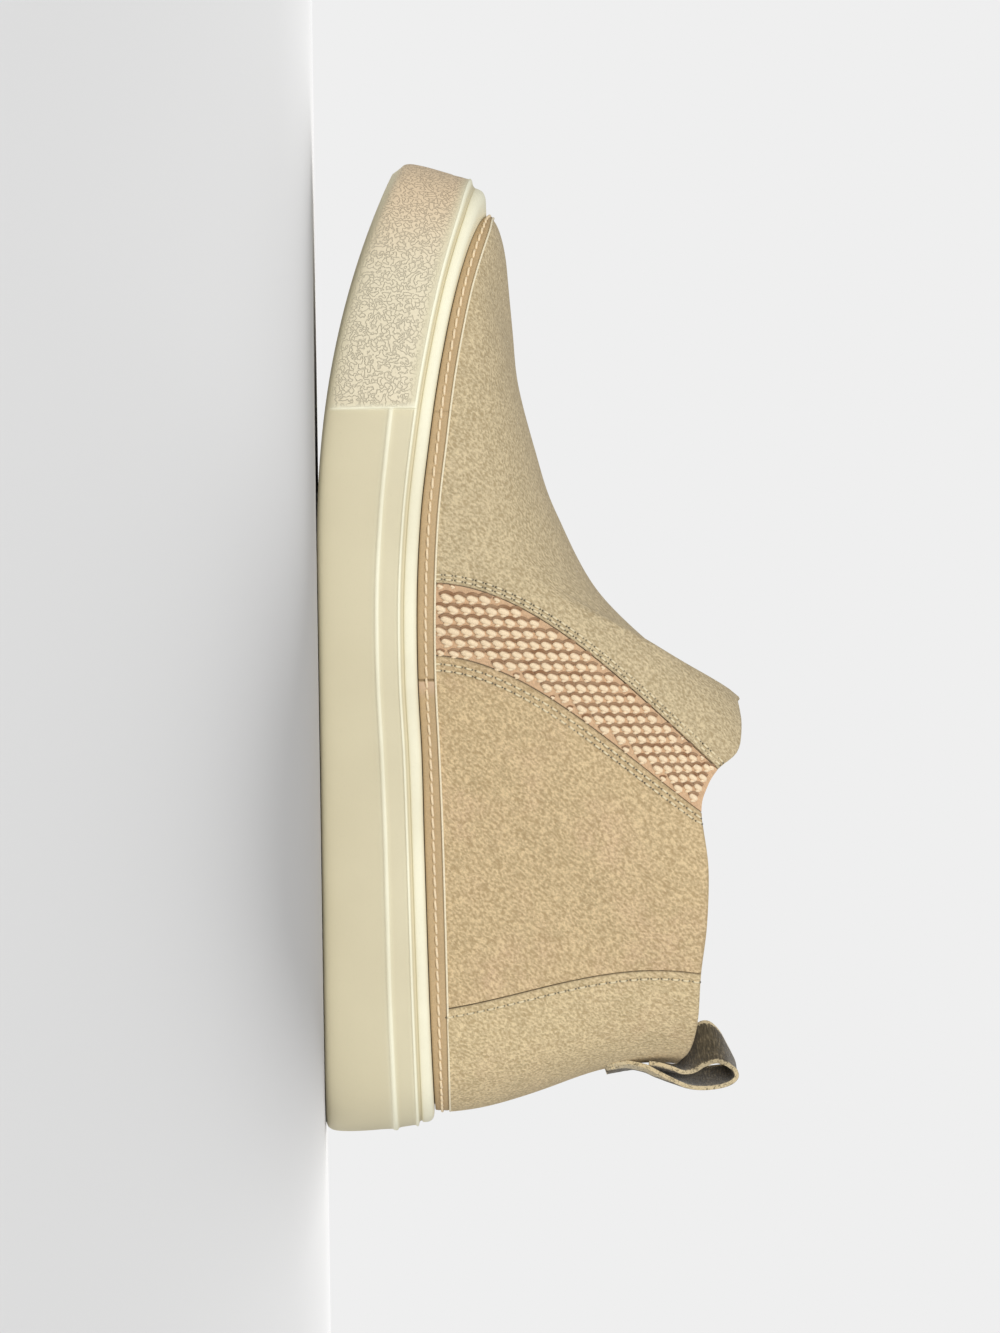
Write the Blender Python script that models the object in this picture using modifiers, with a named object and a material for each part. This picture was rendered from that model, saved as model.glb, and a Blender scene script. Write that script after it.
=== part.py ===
"""Slip-on bootie, a left shoe: cup sole, hollow upper, elastic side gores and a heel loop.

Metres, +Z up. The toe points to -X, the outer side of the foot is -Y, and the sole stands on Z = 0
with the origin in the middle of its length and width.
"""
import math

import bmesh
import bpy
import numpy as np
from mathutils import Matrix

# Driving sizes
SOLE_LENGTH = 0.268
BALL_WIDTH = 0.098
COLLAR_HEIGHT = 0.104
WALL_HEIGHT = 0.029
TOE_SPRING = 0.0235
GAP = 0.0003

# Thicknesses and insets of the layers
SUEDE_THICKNESS = 0.0012
LINING_THICKNESS = 0.0014
GORE_RECESS = 0.0005
COUNTER_STEP = 0.0005
RIM_INSET = 0.0048
TOE_RIM_INSET = 0.0112
SKIN_INSET = 0.0056
TOE_SKIN_INSET = 0.0162
FOOT_DRAFT = 0.0010
STRIP_PROUD = 0.0002
TOE_STRIP_PROUD = 0.0022
TOE_STRIP_BACK = 0.0001
INSOLE_THICKNESS = 0.0055

# Sole underside
SPRING_START = 0.42
SPRING_POWER = 2.3
TREAD_INSET = 0.0030
ARCH_START = 0.50
ARCH_END = 0.72
ARCH_RISE = 0.0030
ARCH_EDGE = 0.3
BUMPER_END = 0.256
BUMPER_EDGE = 0.01
TOE_REACH = 0.17

# Tread grooves
GROOVE_WIDTH = 0.0026
GROOVE_DEPTH = 0.0016
GROOVE_PITCH = 0.0125
GROOVE_MARGIN = 0.0110
FOREFOOT_GROOVES = 8
FOREFOOT_GROOVE_START = 0.13
HEEL_GROOVES = 4
HEEL_GROOVE_START = 0.785

# Pull loop
LOOP_WIDTH = 0.0140
LOOP_THICKNESS = 0.0010
LOOP_HEIGHT = 0.0170

# Outline of the sole, row by row from the toe tip to the back of the heel.
# share of the length, half width on the outer side, half width on the inner side (of the ball width)
OUTLINE = (
    (0.000, 0.000, 0.000),
    (0.010, 0.138, 0.152),
    (0.038, 0.250, 0.285),
    (0.085, 0.340, 0.390),
    (0.155, 0.420, 0.464),
    (0.245, 0.484, 0.502),
    (0.345, 0.508, 0.490),
    (0.460, 0.492, 0.440),
    (0.580, 0.440, 0.378),
    (0.700, 0.396, 0.350),
    (0.810, 0.370, 0.350),
    (0.895, 0.334, 0.328),
    (0.957, 0.258, 0.258),
    (0.990, 0.140, 0.140),
    (1.000, 0.000, 0.000),
)

# Lines along the side of the sole, as heights above its underside in shares of the wall height.
# share of the length, lower rib, upper rib, rim, top of the welt strip, floor of the cup
LEVELS = (
    (0.000, 0.52, 0.700, 0.838, 0.900, 0.30),
    (0.052, 0.58, 0.793, 0.928, 1.066, 0.30),
    (0.130, 0.62, 0.845, 0.990, 1.138, 0.30),
    (0.200, 0.63, 0.866, 1.017, 1.169, 0.30),
    (0.287, 0.64, 0.855, 1.017, 1.179, 0.30),
    (0.369, 0.61, 0.814, 0.976, 1.138, 0.31),
    (0.451, 0.57, 0.772, 0.938, 1.103, 0.34),
    (0.534, 0.57, 0.769, 0.934, 1.097, 0.38),
    (0.616, 0.60, 0.800, 0.962, 1.124, 0.42),
    (0.700, 0.62, 0.817, 0.972, 1.145, 0.45),
    (0.866, 0.64, 0.845, 1.000, 1.166, 0.48),
    (1.000, 0.68, 0.876, 1.034, 1.176, 0.48),
)

# Section through the side wall of the sole, from the tread up to the rim.
# level (0 underside, 1 lower rib, 2 upper rib, 3 rim), inset as a share of the rim's inset
# on the plain side, on the side of the bumper, and at the toe tip
WALL = (
    (0.03, 0.22, 0.20, 0.15),
    (0.16, 0.03, 0.01, 0.00),
    (0.50, 0.02, 0.00, 0.09),
    (0.93, 0.15, 0.05, 0.27),
    (0.96, 0.03, 0.05, 0.28),
    (1.04, 0.04, 0.06, 0.31),
    (1.07, 0.20, 0.07, 0.32),
    (1.92, 0.34, 0.17, 0.43),
    (1.95, 0.26, 0.12, 0.41),
    (2.05, 0.28, 0.18, 0.45),
    (2.10, 0.54, 0.54, 0.58),
    (2.28, 0.60, 0.60, 0.65),
    (2.32, 0.47, 0.47, 0.65),
    (2.70, 0.54, 0.54, 0.72),
    (2.93, 0.78, 0.78, 0.86),
    (3.00, 1.00, 1.00, 1.00),
)

# Ribs of the upper, row by row from the toe tip to the back of the heel. Each rib is a curve from
# the top of the welt strip to the ridge or the collar, with a handle at each end.
# foot: share of the length where the rib starts
# rise_x, rise_z, rise_w: lower handle (length, height, share of the half width at the foot)
# over_x, over_z, over_w: upper handle, from the top point (length, height; half width of the ball)
# top_x, top_z, top_w: top point (length, height, half width of the ball)
RIBS = (
    # foot  rise_x  rise_z rise_w  over_x  over_z over_w  top_x  top_z  top_w
    (0.000, 0.005, 0.015, 1.000, -0.027, -0.005, 0.000, 0.114, 0.513, 0.000),
    (0.085, 0.006, 0.036, 0.965, -0.030, -0.008, 0.135, 0.175, 0.526, 0.000),
    (0.145, 0.004, 0.075, 0.975, -0.026, -0.012, 0.210, 0.232, 0.540, 0.000),
    (0.234, 0.003, 0.125, 0.975, -0.018, -0.013, 0.240, 0.300, 0.582, 0.000),
    (0.310, 0.006, 0.163, 0.970, -0.015, -0.016, 0.235, 0.366, 0.638, 0.000),
    (0.364, 0.007, 0.200, 0.970, -0.019, -0.036, 0.225, 0.448, 0.750, 0.000),
    (0.391, 0.007, 0.240, 0.980, -0.019, -0.070, 0.225, 0.519, 0.940, 0.000),
    (0.407, 0.004, 0.250, 0.980, -0.022, -0.090, 0.240, 0.554, 1.104, 0.000),
    (0.415, 0.003, 0.255, 0.980, -0.030, -0.105, 0.265, 0.560, 1.113, 0.095),
    (0.423, 0.002, 0.260, 0.980, -0.045, -0.150, 0.300, 0.585, 1.121, 0.190),
    (0.430, 0.002, 0.260, 0.983, -0.066, -0.200, 0.328, 0.612, 1.108, 0.252),
    (0.437, 0.003, 0.260, 0.985, -0.084, -0.229, 0.347, 0.630, 1.056, 0.290),
    (0.478, 0.004, 0.250, 0.980, -0.075, -0.227, 0.352, 0.649, 1.025, 0.311),
    (0.513, 0.006, 0.245, 0.975, -0.070, -0.240, 0.347, 0.674, 1.009, 0.321),
    (0.612, 0.004, 0.240, 0.960, -0.037, -0.250, 0.347, 0.731, 1.024, 0.337),
    (0.731, 0.000, 0.240, 0.955, -0.008, -0.250, 0.337, 0.791, 1.018, 0.332),
    (0.877, -0.013, 0.230, 0.980, -0.017, -0.240, 0.305, 0.841, 1.001, 0.296),
    (0.942, -0.011, 0.230, 0.980, -0.013, -0.240, 0.232, 0.890, 0.991, 0.220),
    (0.982, -0.009, 0.230, 0.980, -0.009, -0.250, 0.130, 0.919, 0.971, 0.117),
    (1.000, -0.005, 0.234, 1.000, -0.012, -0.226, 0.000, 0.934, 0.937, 0.000),
)
VAMP_EDGE = 11
GORE_EDGE = 13
COUNTER_EDGE = 16
BACK_SEAM = len(RIBS) - 1
RIB_SPLITS = (5, 2, 3, 2, 2, 2, 2, 1, 1, 1, 1, 1, 1, 3, 2, 2, 2, 2, 2)
SKIN_STEPS = 7
LEVEL_EDGE = 0.1
STRIP_TOP = 0.001

# Route of the pull loop, from its inner end round the fold to the outer tail, as shares of the
# loop's height from the back point of the collar, with the edge on the outer side of the foot
# and the edge on the inner side.
# near_x, near_z, far_x, far_z
LOOP = (
    (0.090, -0.47, 0.090, -0.47),
    (0.115, -0.28, 0.100, -0.28),
    (0.140, -0.09, 0.100, -0.06),
    (0.090, 0.20, -0.050, 0.14),
    (0.020, 0.47, -0.360, 0.30),
    (0.010, 0.68, -0.580, 0.46),
    (0.060, 0.84, -0.520, 0.62),
    (0.150, 0.94, -0.300, 0.76),
    (0.270, 0.93, 0.000, 0.88),
    (0.390, 0.76, 0.280, 0.80),
    (0.450, 0.46, 0.420, 0.50),
    (0.430, 0.18, 0.420, 0.20),
    (0.345, -0.10, 0.335, -0.08),
    (0.240, -0.34, 0.240, -0.34),
    (0.190, -0.50, 0.190, -0.50),
    (0.115, -0.70, 0.115, -0.70),
    (0.130, -0.92, 0.130, -0.92),
    (0.165, -1.16, 0.165, -1.16),
)

COLLECTION = "slip_on_bootie"
OUTER, INNER = -1, 1


def read_table(table, key):
    """Values of a table at any key of its first column, on a smooth curve through its rows."""
    keys = table[:, 0]
    row = int(np.clip(np.searchsorted(keys, key, side="right") - 1, 0, len(keys) - 2))
    below, above = max(row - 1, 0), min(row + 2, len(keys) - 1)
    span = keys[row + 1] - keys[row]
    part = (key - keys[row]) / span
    start, end = table[row, 1:], table[row + 1, 1:]
    start_slope = (end - table[below, 1:]) / (keys[row + 1] - keys[below]) * span
    end_slope = (table[above, 1:] - start) / (keys[above] - keys[row]) * span
    cube, square = part ** 3, part ** 2
    return (start * (2 * cube - 3 * square + 1) + start_slope * (cube - 2 * square + part)
            + end * (3 * square - 2 * cube) + end_slope * (cube - square))


def numbered(rows, first):
    """A table whose first column is the number of the row."""
    return np.array([(first + number, *row) for number, row in enumerate(rows)])


def mirrored(row):
    return (row[0], -row[1], -row[2])


OUTLINE_TABLE = numbered((mirrored(OUTLINE[1]), *OUTLINE, mirrored(OUTLINE[-2])), -1)
OUTLINE_END = len(OUTLINE) - 1
LEVEL_TABLE = np.array(LEVELS)
RIB_TABLE = numbered(RIBS, 0)
SIDE_SHIFT = BALL_WIDTH * (max(row[1] for row in OUTLINE) - max(row[2] for row in OUTLINE)) / 2


def outline_point(turn, side):
    """Point of the sole's outline at a row number, which need not be whole."""
    share, outer, inner = read_table(OUTLINE_TABLE, turn)
    half = outer if side == OUTER else inner
    return np.array(((share - 0.5) * SOLE_LENGTH, side * half * BALL_WIDTH + SIDE_SHIFT))


def inset_point(turn, side, inset):
    """Point at a distance inside the outline, square to it."""
    step = 0.01
    along = outline_point(turn + step, side) - outline_point(turn - step, side)
    inward = np.array((-along[1], along[0])) / np.linalg.norm(along) * -side
    if turn in (0, OUTLINE_END):
        inward = np.array((math.copysign(1, OUTLINE_END / 2 - turn), 0.0))
    return outline_point(turn, side) + inward * inset


def turn_of_share(share):
    """Row number of the outline at a share of the length."""
    low, high = 0.0, float(OUTLINE_END)
    for _ in range(40):
        middle = (low + high) / 2
        if read_table(OUTLINE_TABLE, middle)[0] < share:
            low = middle
        else:
            high = middle
    return round((low + high) / 2, 6)


RIB_TURNS = numbered([(turn_of_share(row[0]),) for row in RIBS], 0)


def underside(x):
    """Height of the sole's underside, with the toe spring."""
    start = (SPRING_START - 0.5) * SOLE_LENGTH
    lift = max(0.0, (start - x) / (start + SOLE_LENGTH / 2))
    return TOE_SPRING * lift ** SPRING_POWER


def toe_share(x):
    """One at the toe tip, falling to nothing where the toe's round ends."""
    reach = 1 - (x / SOLE_LENGTH + 0.5) / TOE_REACH
    return max(0.0, min(1.0, reach)) ** 2


def levels(x):
    """Heights of the lower rib, upper rib, rim, strip and cup floor."""
    return underside(x) + read_table(LEVEL_TABLE, x / SOLE_LENGTH + 0.5) * WALL_HEIGHT


def blend(first, second, share):
    return first + (second - first) * share


def rib_turn(u):
    return float(read_table(RIB_TURNS, u)[0])


def foot_point(u, side, height):
    """Point of the skin below the top of the strip, with the height given."""
    turn = rib_turn(u)
    x = outline_point(turn, side)[0]
    top, floor = levels(x)[3:]
    depth = (top - height) / (top - floor)
    inset = blend(SKIN_INSET, TOE_SKIN_INSET, toe_share(x)) + FOOT_DRAFT * depth
    return np.array((*inset_point(turn, side, inset), height))


def skin(u, v, side):
    """Outer face of the suede. u counts ribs from the toe to the heel. v runs from -1 on the
    cup's floor to 0 at the top of the strip and 1 at the ridge or the collar."""
    x = outline_point(rib_turn(u), side)[0]
    top_of_strip, floor = levels(x)[3:]
    if v <= 0:
        return foot_point(u, side, blend(top_of_strip, floor + GAP, -v))
    (_, rise_x, rise_z, rise_w, over_x, over_z, over_w, top_x, top_z, top_w) = read_table(RIB_TABLE, u)
    foot = foot_point(u, side, top_of_strip)
    other = foot_point(u, -side, top_of_strip)
    centre = (foot[1] + other[1]) / 2
    half = side * BALL_WIDTH
    top = np.array(((top_x - 0.5) * SOLE_LENGTH, centre + half * max(top_w, 0), top_z * COLLAR_HEIGHT))
    rise = foot + (rise_x * SOLE_LENGTH, (foot[1] - centre) * (rise_w - 1), rise_z * COLLAR_HEIGHT)
    over = np.array((top[0] + over_x * SOLE_LENGTH, centre + half * max(over_w, 0),
                     top[2] + over_z * COLLAR_HEIGHT))
    w = 1 - v
    return w ** 3 * foot + 3 * w * w * v * rise + 3 * w * v * v * over + v ** 3 * top


def on_ridge(u):
    """True where the rib ends on the centre line, in front of the tab."""
    return read_table(RIB_TABLE, u)[9] <= 1e-6


def side_normal(u, v, side):
    """Direction out of the shoe, from one side of the surface."""
    rise = 0.06
    turn = 0.15
    v_low, v_high = (v, v + rise) if 0 <= v <= 1 - rise else (v - rise, v)
    upward = skin(u, v_high, side) - skin(u, v_low, side)
    if u in (0, BACK_SEAM):
        normal = np.array((-upward[2], 0, upward[0])) * (1 if u == 0 else -1)
    else:
        along = skin(min(u + turn, BACK_SEAM), v, side) - skin(max(u - turn, 0), v, side)
        normal = np.cross(upward, along) * side
    return normal / np.linalg.norm(normal)


def skin_normal(u, v, side):
    """Direction out of the shoe: level where a panel starts, and shared along the ridge."""
    normal = side_normal(u, v, side)
    if v == 1 and on_ridge(u):
        normal = normal + side_normal(u, v, -side)
    if 0 < v < LEVEL_EDGE:
        normal[2] = 0
    return normal / np.linalg.norm(normal)


def layer(u, v, side, offset):
    """Point at a distance outside the skin, or inside it where the distance is negative."""
    return skin(u, v, side) + skin_normal(u, v, side) * offset


def rib_lines(first, last):
    """Rib numbers at which every layer of the upper has its lines."""
    lines = [row + part / splits for row, splits in enumerate(RIB_SPLITS) for part in range(splits)]
    return [u for u in lines + [BACK_SEAM] if first <= u <= last]


def step_along(u, v, side, direction):
    """Change of rib number that moves an edge by the gap."""
    step = 0.02 * direction
    return GAP * step / np.linalg.norm(skin(u + step, v, side) - skin(u, v, side))


def step_up(u, side):
    """Change of v at the top of the strip that moves an edge up by the gap."""
    step = 0.02
    return GAP * step / np.linalg.norm(skin(u, step, side) - skin(u, 0, side))


def new_object(name, verts, faces):
    """Mesh object in the shoe's collection, with its doubles merged."""
    mesh = bpy.data.meshes.new(name)
    mesh.from_pydata([tuple(map(float, vert)) for vert in verts], [], faces)
    tidy = bmesh.new()
    tidy.from_mesh(mesh)
    bmesh.ops.remove_doubles(tidy, verts=tidy.verts, dist=0.000005)
    bmesh.ops.dissolve_degenerate(tidy, edges=tidy.edges, dist=0.000001)
    bmesh.ops.recalc_face_normals(tidy, faces=tidy.faces)
    tidy.to_mesh(mesh)
    tidy.free()
    mesh.shade_smooth()
    mesh.set_sharp_from_angle(angle=math.radians(40))
    thing = bpy.data.objects.new(name, mesh)
    bpy.data.collections[COLLECTION].objects.link(thing)
    return thing


def shell(name, sides, first, last, heights, inside, outside):
    """Sheet between two offsets of the skin, closed along its free edges."""
    verts, faces = [], []
    lines = rib_lines(first, last)
    for side in sides:
        outer, inner = [], []
        for u in lines:
            column = []
            for v in heights(u, side):
                edge = 0.0
                if first > 0 and u == first:
                    edge = step_along(u, v, side, 1) / 2
                if last < BACK_SEAM and u == last:
                    edge = step_along(u, v, side, -1) / 2
                column.append((u + edge, v))
            outer.append([layer(*place, side, outside(*place)) for place in column])
            inner.append([layer(*place, side, inside(*place)) for place in column])
        count = len(outer[0])

        def number(ring, row, base=len(verts)):
            return base + ring * count + row

        verts += [point for ring in outer + inner for point in ring]
        rings = len(lines)
        for ring in range(rings - 1):
            for row in range(count - 1):
                corners = [number(ring, row), number(ring + 1, row),
                           number(ring + 1, row + 1), number(ring, row + 1)]
                behind = [corner + rings * count for corner in corners]
                for a, b, c, d in (corners, behind):
                    faces += [(a, b, d), (b, c, d)]
            for row in (0, count - 1):
                closed = row and heights(lines[ring], side)[-1] == 1 and on_ridge(lines[ring])
                if not (closed and on_ridge(lines[ring + 1])):
                    faces.append((number(ring, row), number(ring + 1, row),
                                  number(ring + 1 + rings, row), number(ring + rings, row)))
        for ring, is_free in ((0, first > 0), (rings - 1, last < BACK_SEAM)):
            if is_free:
                for row in range(count - 1):
                    faces.append((number(ring, row), number(ring, row + 1),
                                  number(ring + rings, row + 1), number(ring + rings, row)))
    return new_object(name, verts, faces)


def skin_heights(u, side):
    """Places of a panel's lines between the strip and its upper edge."""
    return [step_up(u, side)] + [step / SKIN_STEPS for step in range(1, SKIN_STEPS + 1)]


def v_of_height(u, side, height):
    """Place below the top of the strip that has the height given."""
    top, floor = levels(outline_point(rib_turn(u), side)[0])[3:]
    return (height - top) / (top - floor - GAP)


def rim_height(u, side):
    return levels(outline_point(rib_turn(u), side)[0])[2]


def lining_heights(u, side):
    """Places of the lines of the hollow upper, from the cup's floor to the collar."""
    rim = v_of_height(u, side, rim_height(u, side))
    return [-1, rim] + [step / SKIN_STEPS for step in range(1, SKIN_STEPS + 1)]


def strip_heights(u, side):
    return [v_of_height(u, side, rim_height(u, side) + GAP), -STRIP_TOP]


def level_offset(offset):
    """Offset that is the same all over a panel."""
    return lambda u, v: offset


def strip_back(u, v):
    """Offset of the strip's inner face, which leaves room for the low toe."""
    x = outline_point(rib_turn(u), OUTER)[0]
    return blend(-SUEDE_THICKNESS, -TOE_STRIP_BACK, toe_share(x))


def strip_face(u, v):
    """Offset of the strip's outer face, which flares towards the toe."""
    x = outline_point(rib_turn(u), OUTER)[0]
    flare = toe_share(x) * blend(0.4, 1.0, min(1.0, -2 * v))
    return blend(STRIP_PROUD, TOE_STRIP_PROUD, flare)


def loft_chains(name, chains):
    """Solid from rows of chains of points, where each chain is an open section of one side."""
    verts, faces = [], []
    for rows in chains:
        base, count = len(verts), len(rows[0])
        verts += [point for row in rows for point in row]
        for row in range(len(rows) - 1):
            for place in range(count - 1):
                corner = base + row * count + place
                faces.append((corner, corner + count, corner + count + 1, corner + 1))
    return new_object(name, verts, faces)


def arch_lift(x):
    """Hollow under the waist of the sole."""
    share = (x / SOLE_LENGTH + 0.5 - ARCH_START) / (ARCH_END - ARCH_START)
    return ARCH_RISE * math.sin(math.pi * share) ** 2 if 0 < share < 1 else 0.0


def floor_edge(u, side):
    """Foot of the cup's inner wall."""
    turn = rib_turn(u)
    top, floor = levels(outline_point(turn, side)[0])[3:]
    return layer(u, -1 - GAP / (top - floor - GAP), side, -SUEDE_THICKNESS)


def sole_section(u, side, has_bumper):
    """Half section of the sole: underside, stepped wall, rim, inner wall and cup floor."""
    turn = rib_turn(u)
    x = outline_point(turn, side)[0]
    lower_rib, upper_rib, rim = levels(x)[:3]
    toe = toe_share(x)
    tread_edge, far_tread_edge = (inset_point(turn, each, TREAD_INSET) for each in (side, -side))
    points = []
    for share in (0.0, 0.5, 0.85, 1.0):
        flat = blend((tread_edge + far_tread_edge) / 2, tread_edge, share)
        hollow = min(1.0, (1 - share) / ARCH_EDGE)
        points.append((*flat, underside(flat[0]) + arch_lift(flat[0]) * hollow))
    heights = (underside(x), lower_rib, upper_rib, rim)
    for level, plain, bumper, toe_part in WALL:
        share = blend(bumper if has_bumper else plain, toe_part, toe)
        inset = share * blend(RIM_INSET, TOE_RIM_INSET, toe)
        points.append((*inset_point(turn, side, inset), np.interp(level, range(4), heights)))
    points.append(layer(u, v_of_height(u, side, rim), side, -SUEDE_THICKNESS))
    edge, far_edge = floor_edge(u, side), floor_edge(u, -side)
    points += [blend(edge, (edge + far_edge) / 2, share) for share in (0.0, 0.5, 1.0)]
    return points


def rib_of_share(share):
    """Rib number whose foot stands at a share of the sole's length."""
    turn, low, high = turn_of_share(share), 0.0, float(BACK_SEAM)
    for _ in range(40):
        middle = (low + high) / 2
        low, high = (middle, high) if rib_turn(middle) < turn else (low, middle)
    return (low + high) / 2


def groove_cutters():
    """Bars that cut the tread, set square to the underside."""
    bars = bmesh.new()
    rows = [(FOREFOOT_GROOVE_START, number) for number in range(FOREFOOT_GROOVES)]
    rows += [(HEEL_GROOVE_START, number) for number in range(HEEL_GROOVES)]
    for start, number in rows:
        x = (start - 0.5) * SOLE_LENGTH + number * GROOVE_PITCH
        turn = turn_of_share(x / SOLE_LENGTH + 0.5)
        ends = [outline_point(turn, side)[1] - side * GROOVE_MARGIN for side in (OUTER, INNER)]
        slope = math.atan2(underside(x + GROOVE_WIDTH) - underside(x - GROOVE_WIDTH), 2 * GROOVE_WIDTH)
        place = Matrix.Translation((x, sum(ends) / 2, underside(x))) @ Matrix.Rotation(-slope, 4, "Y")
        size = Matrix.Diagonal((GROOVE_WIDTH, ends[1] - ends[0], 2 * GROOVE_DEPTH, 1))
        bmesh.ops.create_cube(bars, size=1, matrix=place @ size)
    mesh = bpy.data.meshes.new("tread_cutters")
    bars.to_mesh(mesh)
    bars.free()
    cutter = bpy.data.objects.new("tread_cutters", mesh)
    bpy.data.collections["cutters"].objects.link(cutter)
    cutter.hide_render = True
    cutter.display_type = "WIRE"
    return cutter


def make_cupsole():
    """Moulded rubber sole, one solid, open on top, with a bumper round the toe."""
    bumper_end = rib_of_share(BUMPER_END)
    lines = [(u, u < bumper_end) for u in rib_lines(0, BACK_SEAM)]
    lines += [(bumper_end - BUMPER_EDGE, True), (bumper_end + BUMPER_EDGE, False)]
    lines.sort()
    sole = loft_chains("cupsole", [[sole_section(u, side, has_bumper) for u, has_bumper in lines]
                                   for side in (OUTER, INNER)])
    cut = sole.modifiers.new("tread grooves", "BOOLEAN")
    cut.operation = "DIFFERENCE"
    cut.solver = "EXACT"
    cut.object = groove_cutters()
    return sole


def make_insole():
    """Footbed that fills the cup inside the upper."""
    inside = -SUEDE_THICKNESS - GAP - LINING_THICKNESS - GAP
    chains = []
    for side in (OUTER, INNER):
        rows = []
        for u in rib_lines(0, BACK_SEAM):
            floor = levels(outline_point(rib_turn(u), side)[0])[4]
            top = v_of_height(u, side, floor + GAP + INSOLE_THICKNESS)
            edges = {each: [layer(u, v, each, inside) for v in (-1, top)] for each in (side, -side)}
            low, high = edges[side]
            middles = [(here + there) / 2 for here, there in zip(edges[side], edges[-side])]
            rows.append([middles[0], blend(middles[0], low, 0.5), low,
                         high, blend(middles[1], high, 0.5), middles[1]])
        chains.append(rows)
    return loft_chains("insole", chains)


def make_upper_layers():
    """Hollow upper, and the suede and elastic panels that are sewn over it."""
    backing = -SUEDE_THICKNESS - GAP
    both = (OUTER, INNER)
    suede = (level_offset(-SUEDE_THICKNESS), level_offset(0.0))
    gore = (level_offset(-SUEDE_THICKNESS), level_offset(-GORE_RECESS))
    counter = (level_offset(-SUEDE_THICKNESS), level_offset(COUNTER_STEP))
    lining = (level_offset(backing - LINING_THICKNESS), level_offset(backing))
    shell("upper", both, 0, BACK_SEAM, lining_heights, *lining)
    shell("welt_strip", both, 0, BACK_SEAM, strip_heights, strip_back, strip_face)
    shell("vamp", both, 0, VAMP_EDGE, skin_heights, *suede)
    shell("heel_counter", both, COUNTER_EDGE, BACK_SEAM, skin_heights, *counter)
    for side, word in ((OUTER, "lateral"), (INNER, "medial")):
        shell("gore_" + word, (side,), VAMP_EDGE, GORE_EDGE, skin_heights, *gore)
        shell("quarter_" + word, (side,), GORE_EDGE, COUNTER_EDGE, skin_heights, *suede)


def make_pull_loop():
    """Folded webbing behind the heel, with a skew at its fold."""
    back = skin(BACK_SEAM, 1, OUTER)
    half = LOOP_WIDTH / 2
    verts = []
    for near_x, near_z, far_x, far_z in LOOP:
        near = back + np.array((near_x * LOOP_HEIGHT, -half, near_z * LOOP_HEIGHT))
        far = back + np.array((far_x * LOOP_HEIGHT, half, far_z * LOOP_HEIGHT))
        verts += [near, (near + far) / 2, far]
    faces = [(row + place, row + place + 1, row + place + 4, row + place + 3)
             for row in range(0, len(verts) - 3, 3) for place in (0, 1)]
    loop = new_object("pull_loop", verts, faces)
    wall = loop.modifiers.new("webbing", "SOLIDIFY")
    wall.thickness = LOOP_THICKNESS
    wall.offset = 0
    wall.use_even_offset = True
    return loop


# Colours and finishes: red, green, blue, roughness
FINISHES = {
    "cupsole": (0.72, 0.64, 0.47, 0.55),
    "welt_strip": (0.52, 0.40, 0.25, 0.60),
    "insole": (0.62, 0.52, 0.38, 0.85),
    "upper": (0.66, 0.56, 0.42, 0.90),
    "vamp": (0.60, 0.50, 0.34, 0.92),
    "heel_counter": (0.58, 0.47, 0.31, 0.92),
    "gore_lateral": (0.68, 0.48, 0.34, 0.80),
    "gore_medial": (0.68, 0.48, 0.34, 0.80),
    "quarter_lateral": (0.60, 0.48, 0.31, 0.92),
    "quarter_medial": (0.60, 0.48, 0.31, 0.92),
    "pull_loop": (0.15, 0.12, 0.08, 0.95),
}


def add_finishes():
    for name, (red, green, blue, roughness) in FINISHES.items():
        material = bpy.data.materials.new(name)
        material.use_nodes = True
        shader = material.node_tree.nodes["Principled BSDF"]
        shader.inputs["Base Color"].default_value = (red, green, blue, 1)
        shader.inputs["Roughness"].default_value = roughness
        shader.inputs["Metallic"].default_value = 0
        bpy.data.objects[name].data.materials.append(material)


def main():
    for thing in list(bpy.data.objects):
        bpy.data.objects.remove(thing)
    for name in (COLLECTION, "cutters"):
        bpy.context.scene.collection.children.link(bpy.data.collections.new(name))
    make_cupsole()
    make_insole()
    make_upper_layers()
    make_pull_loop()
    add_finishes()


main()
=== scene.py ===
"""Slip-on bootie, dressed for its picture: cup sole, suede and elastic upper, seams and heel loop.

Metres, +Z up. The toe points to -X, the outer side of the foot is -Y, and the sole stands on Z = 0.
Laid out as an add-on and run as a script: main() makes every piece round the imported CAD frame.
"""
import math

import bmesh
import bpy
import numpy as np
from bpy.props import FloatProperty, FloatVectorProperty, PointerProperty
from mathutils import Matrix


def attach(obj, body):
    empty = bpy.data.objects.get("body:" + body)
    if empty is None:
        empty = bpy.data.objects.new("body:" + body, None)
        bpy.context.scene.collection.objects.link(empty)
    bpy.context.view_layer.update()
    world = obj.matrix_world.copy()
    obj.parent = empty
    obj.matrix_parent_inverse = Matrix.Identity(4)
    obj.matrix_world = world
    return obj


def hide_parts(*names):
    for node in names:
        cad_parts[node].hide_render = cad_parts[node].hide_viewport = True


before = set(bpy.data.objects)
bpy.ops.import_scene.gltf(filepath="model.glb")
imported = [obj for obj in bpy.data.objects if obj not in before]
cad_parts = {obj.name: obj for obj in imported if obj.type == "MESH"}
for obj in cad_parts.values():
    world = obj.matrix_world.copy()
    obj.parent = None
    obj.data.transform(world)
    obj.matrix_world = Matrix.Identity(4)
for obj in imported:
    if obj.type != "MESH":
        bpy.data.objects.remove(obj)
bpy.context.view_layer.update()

bl_info = {
    "name": "Slip-on bootie",
    "version": (1, 0, 0),
    "blender": (4, 5, 0),
    "location": "View3D > Sidebar > Bootie",
    "description": "Cup sole, suede and elastic upper, seams and heel loop of a slip-on bootie",
    "category": "Object",
}

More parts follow.
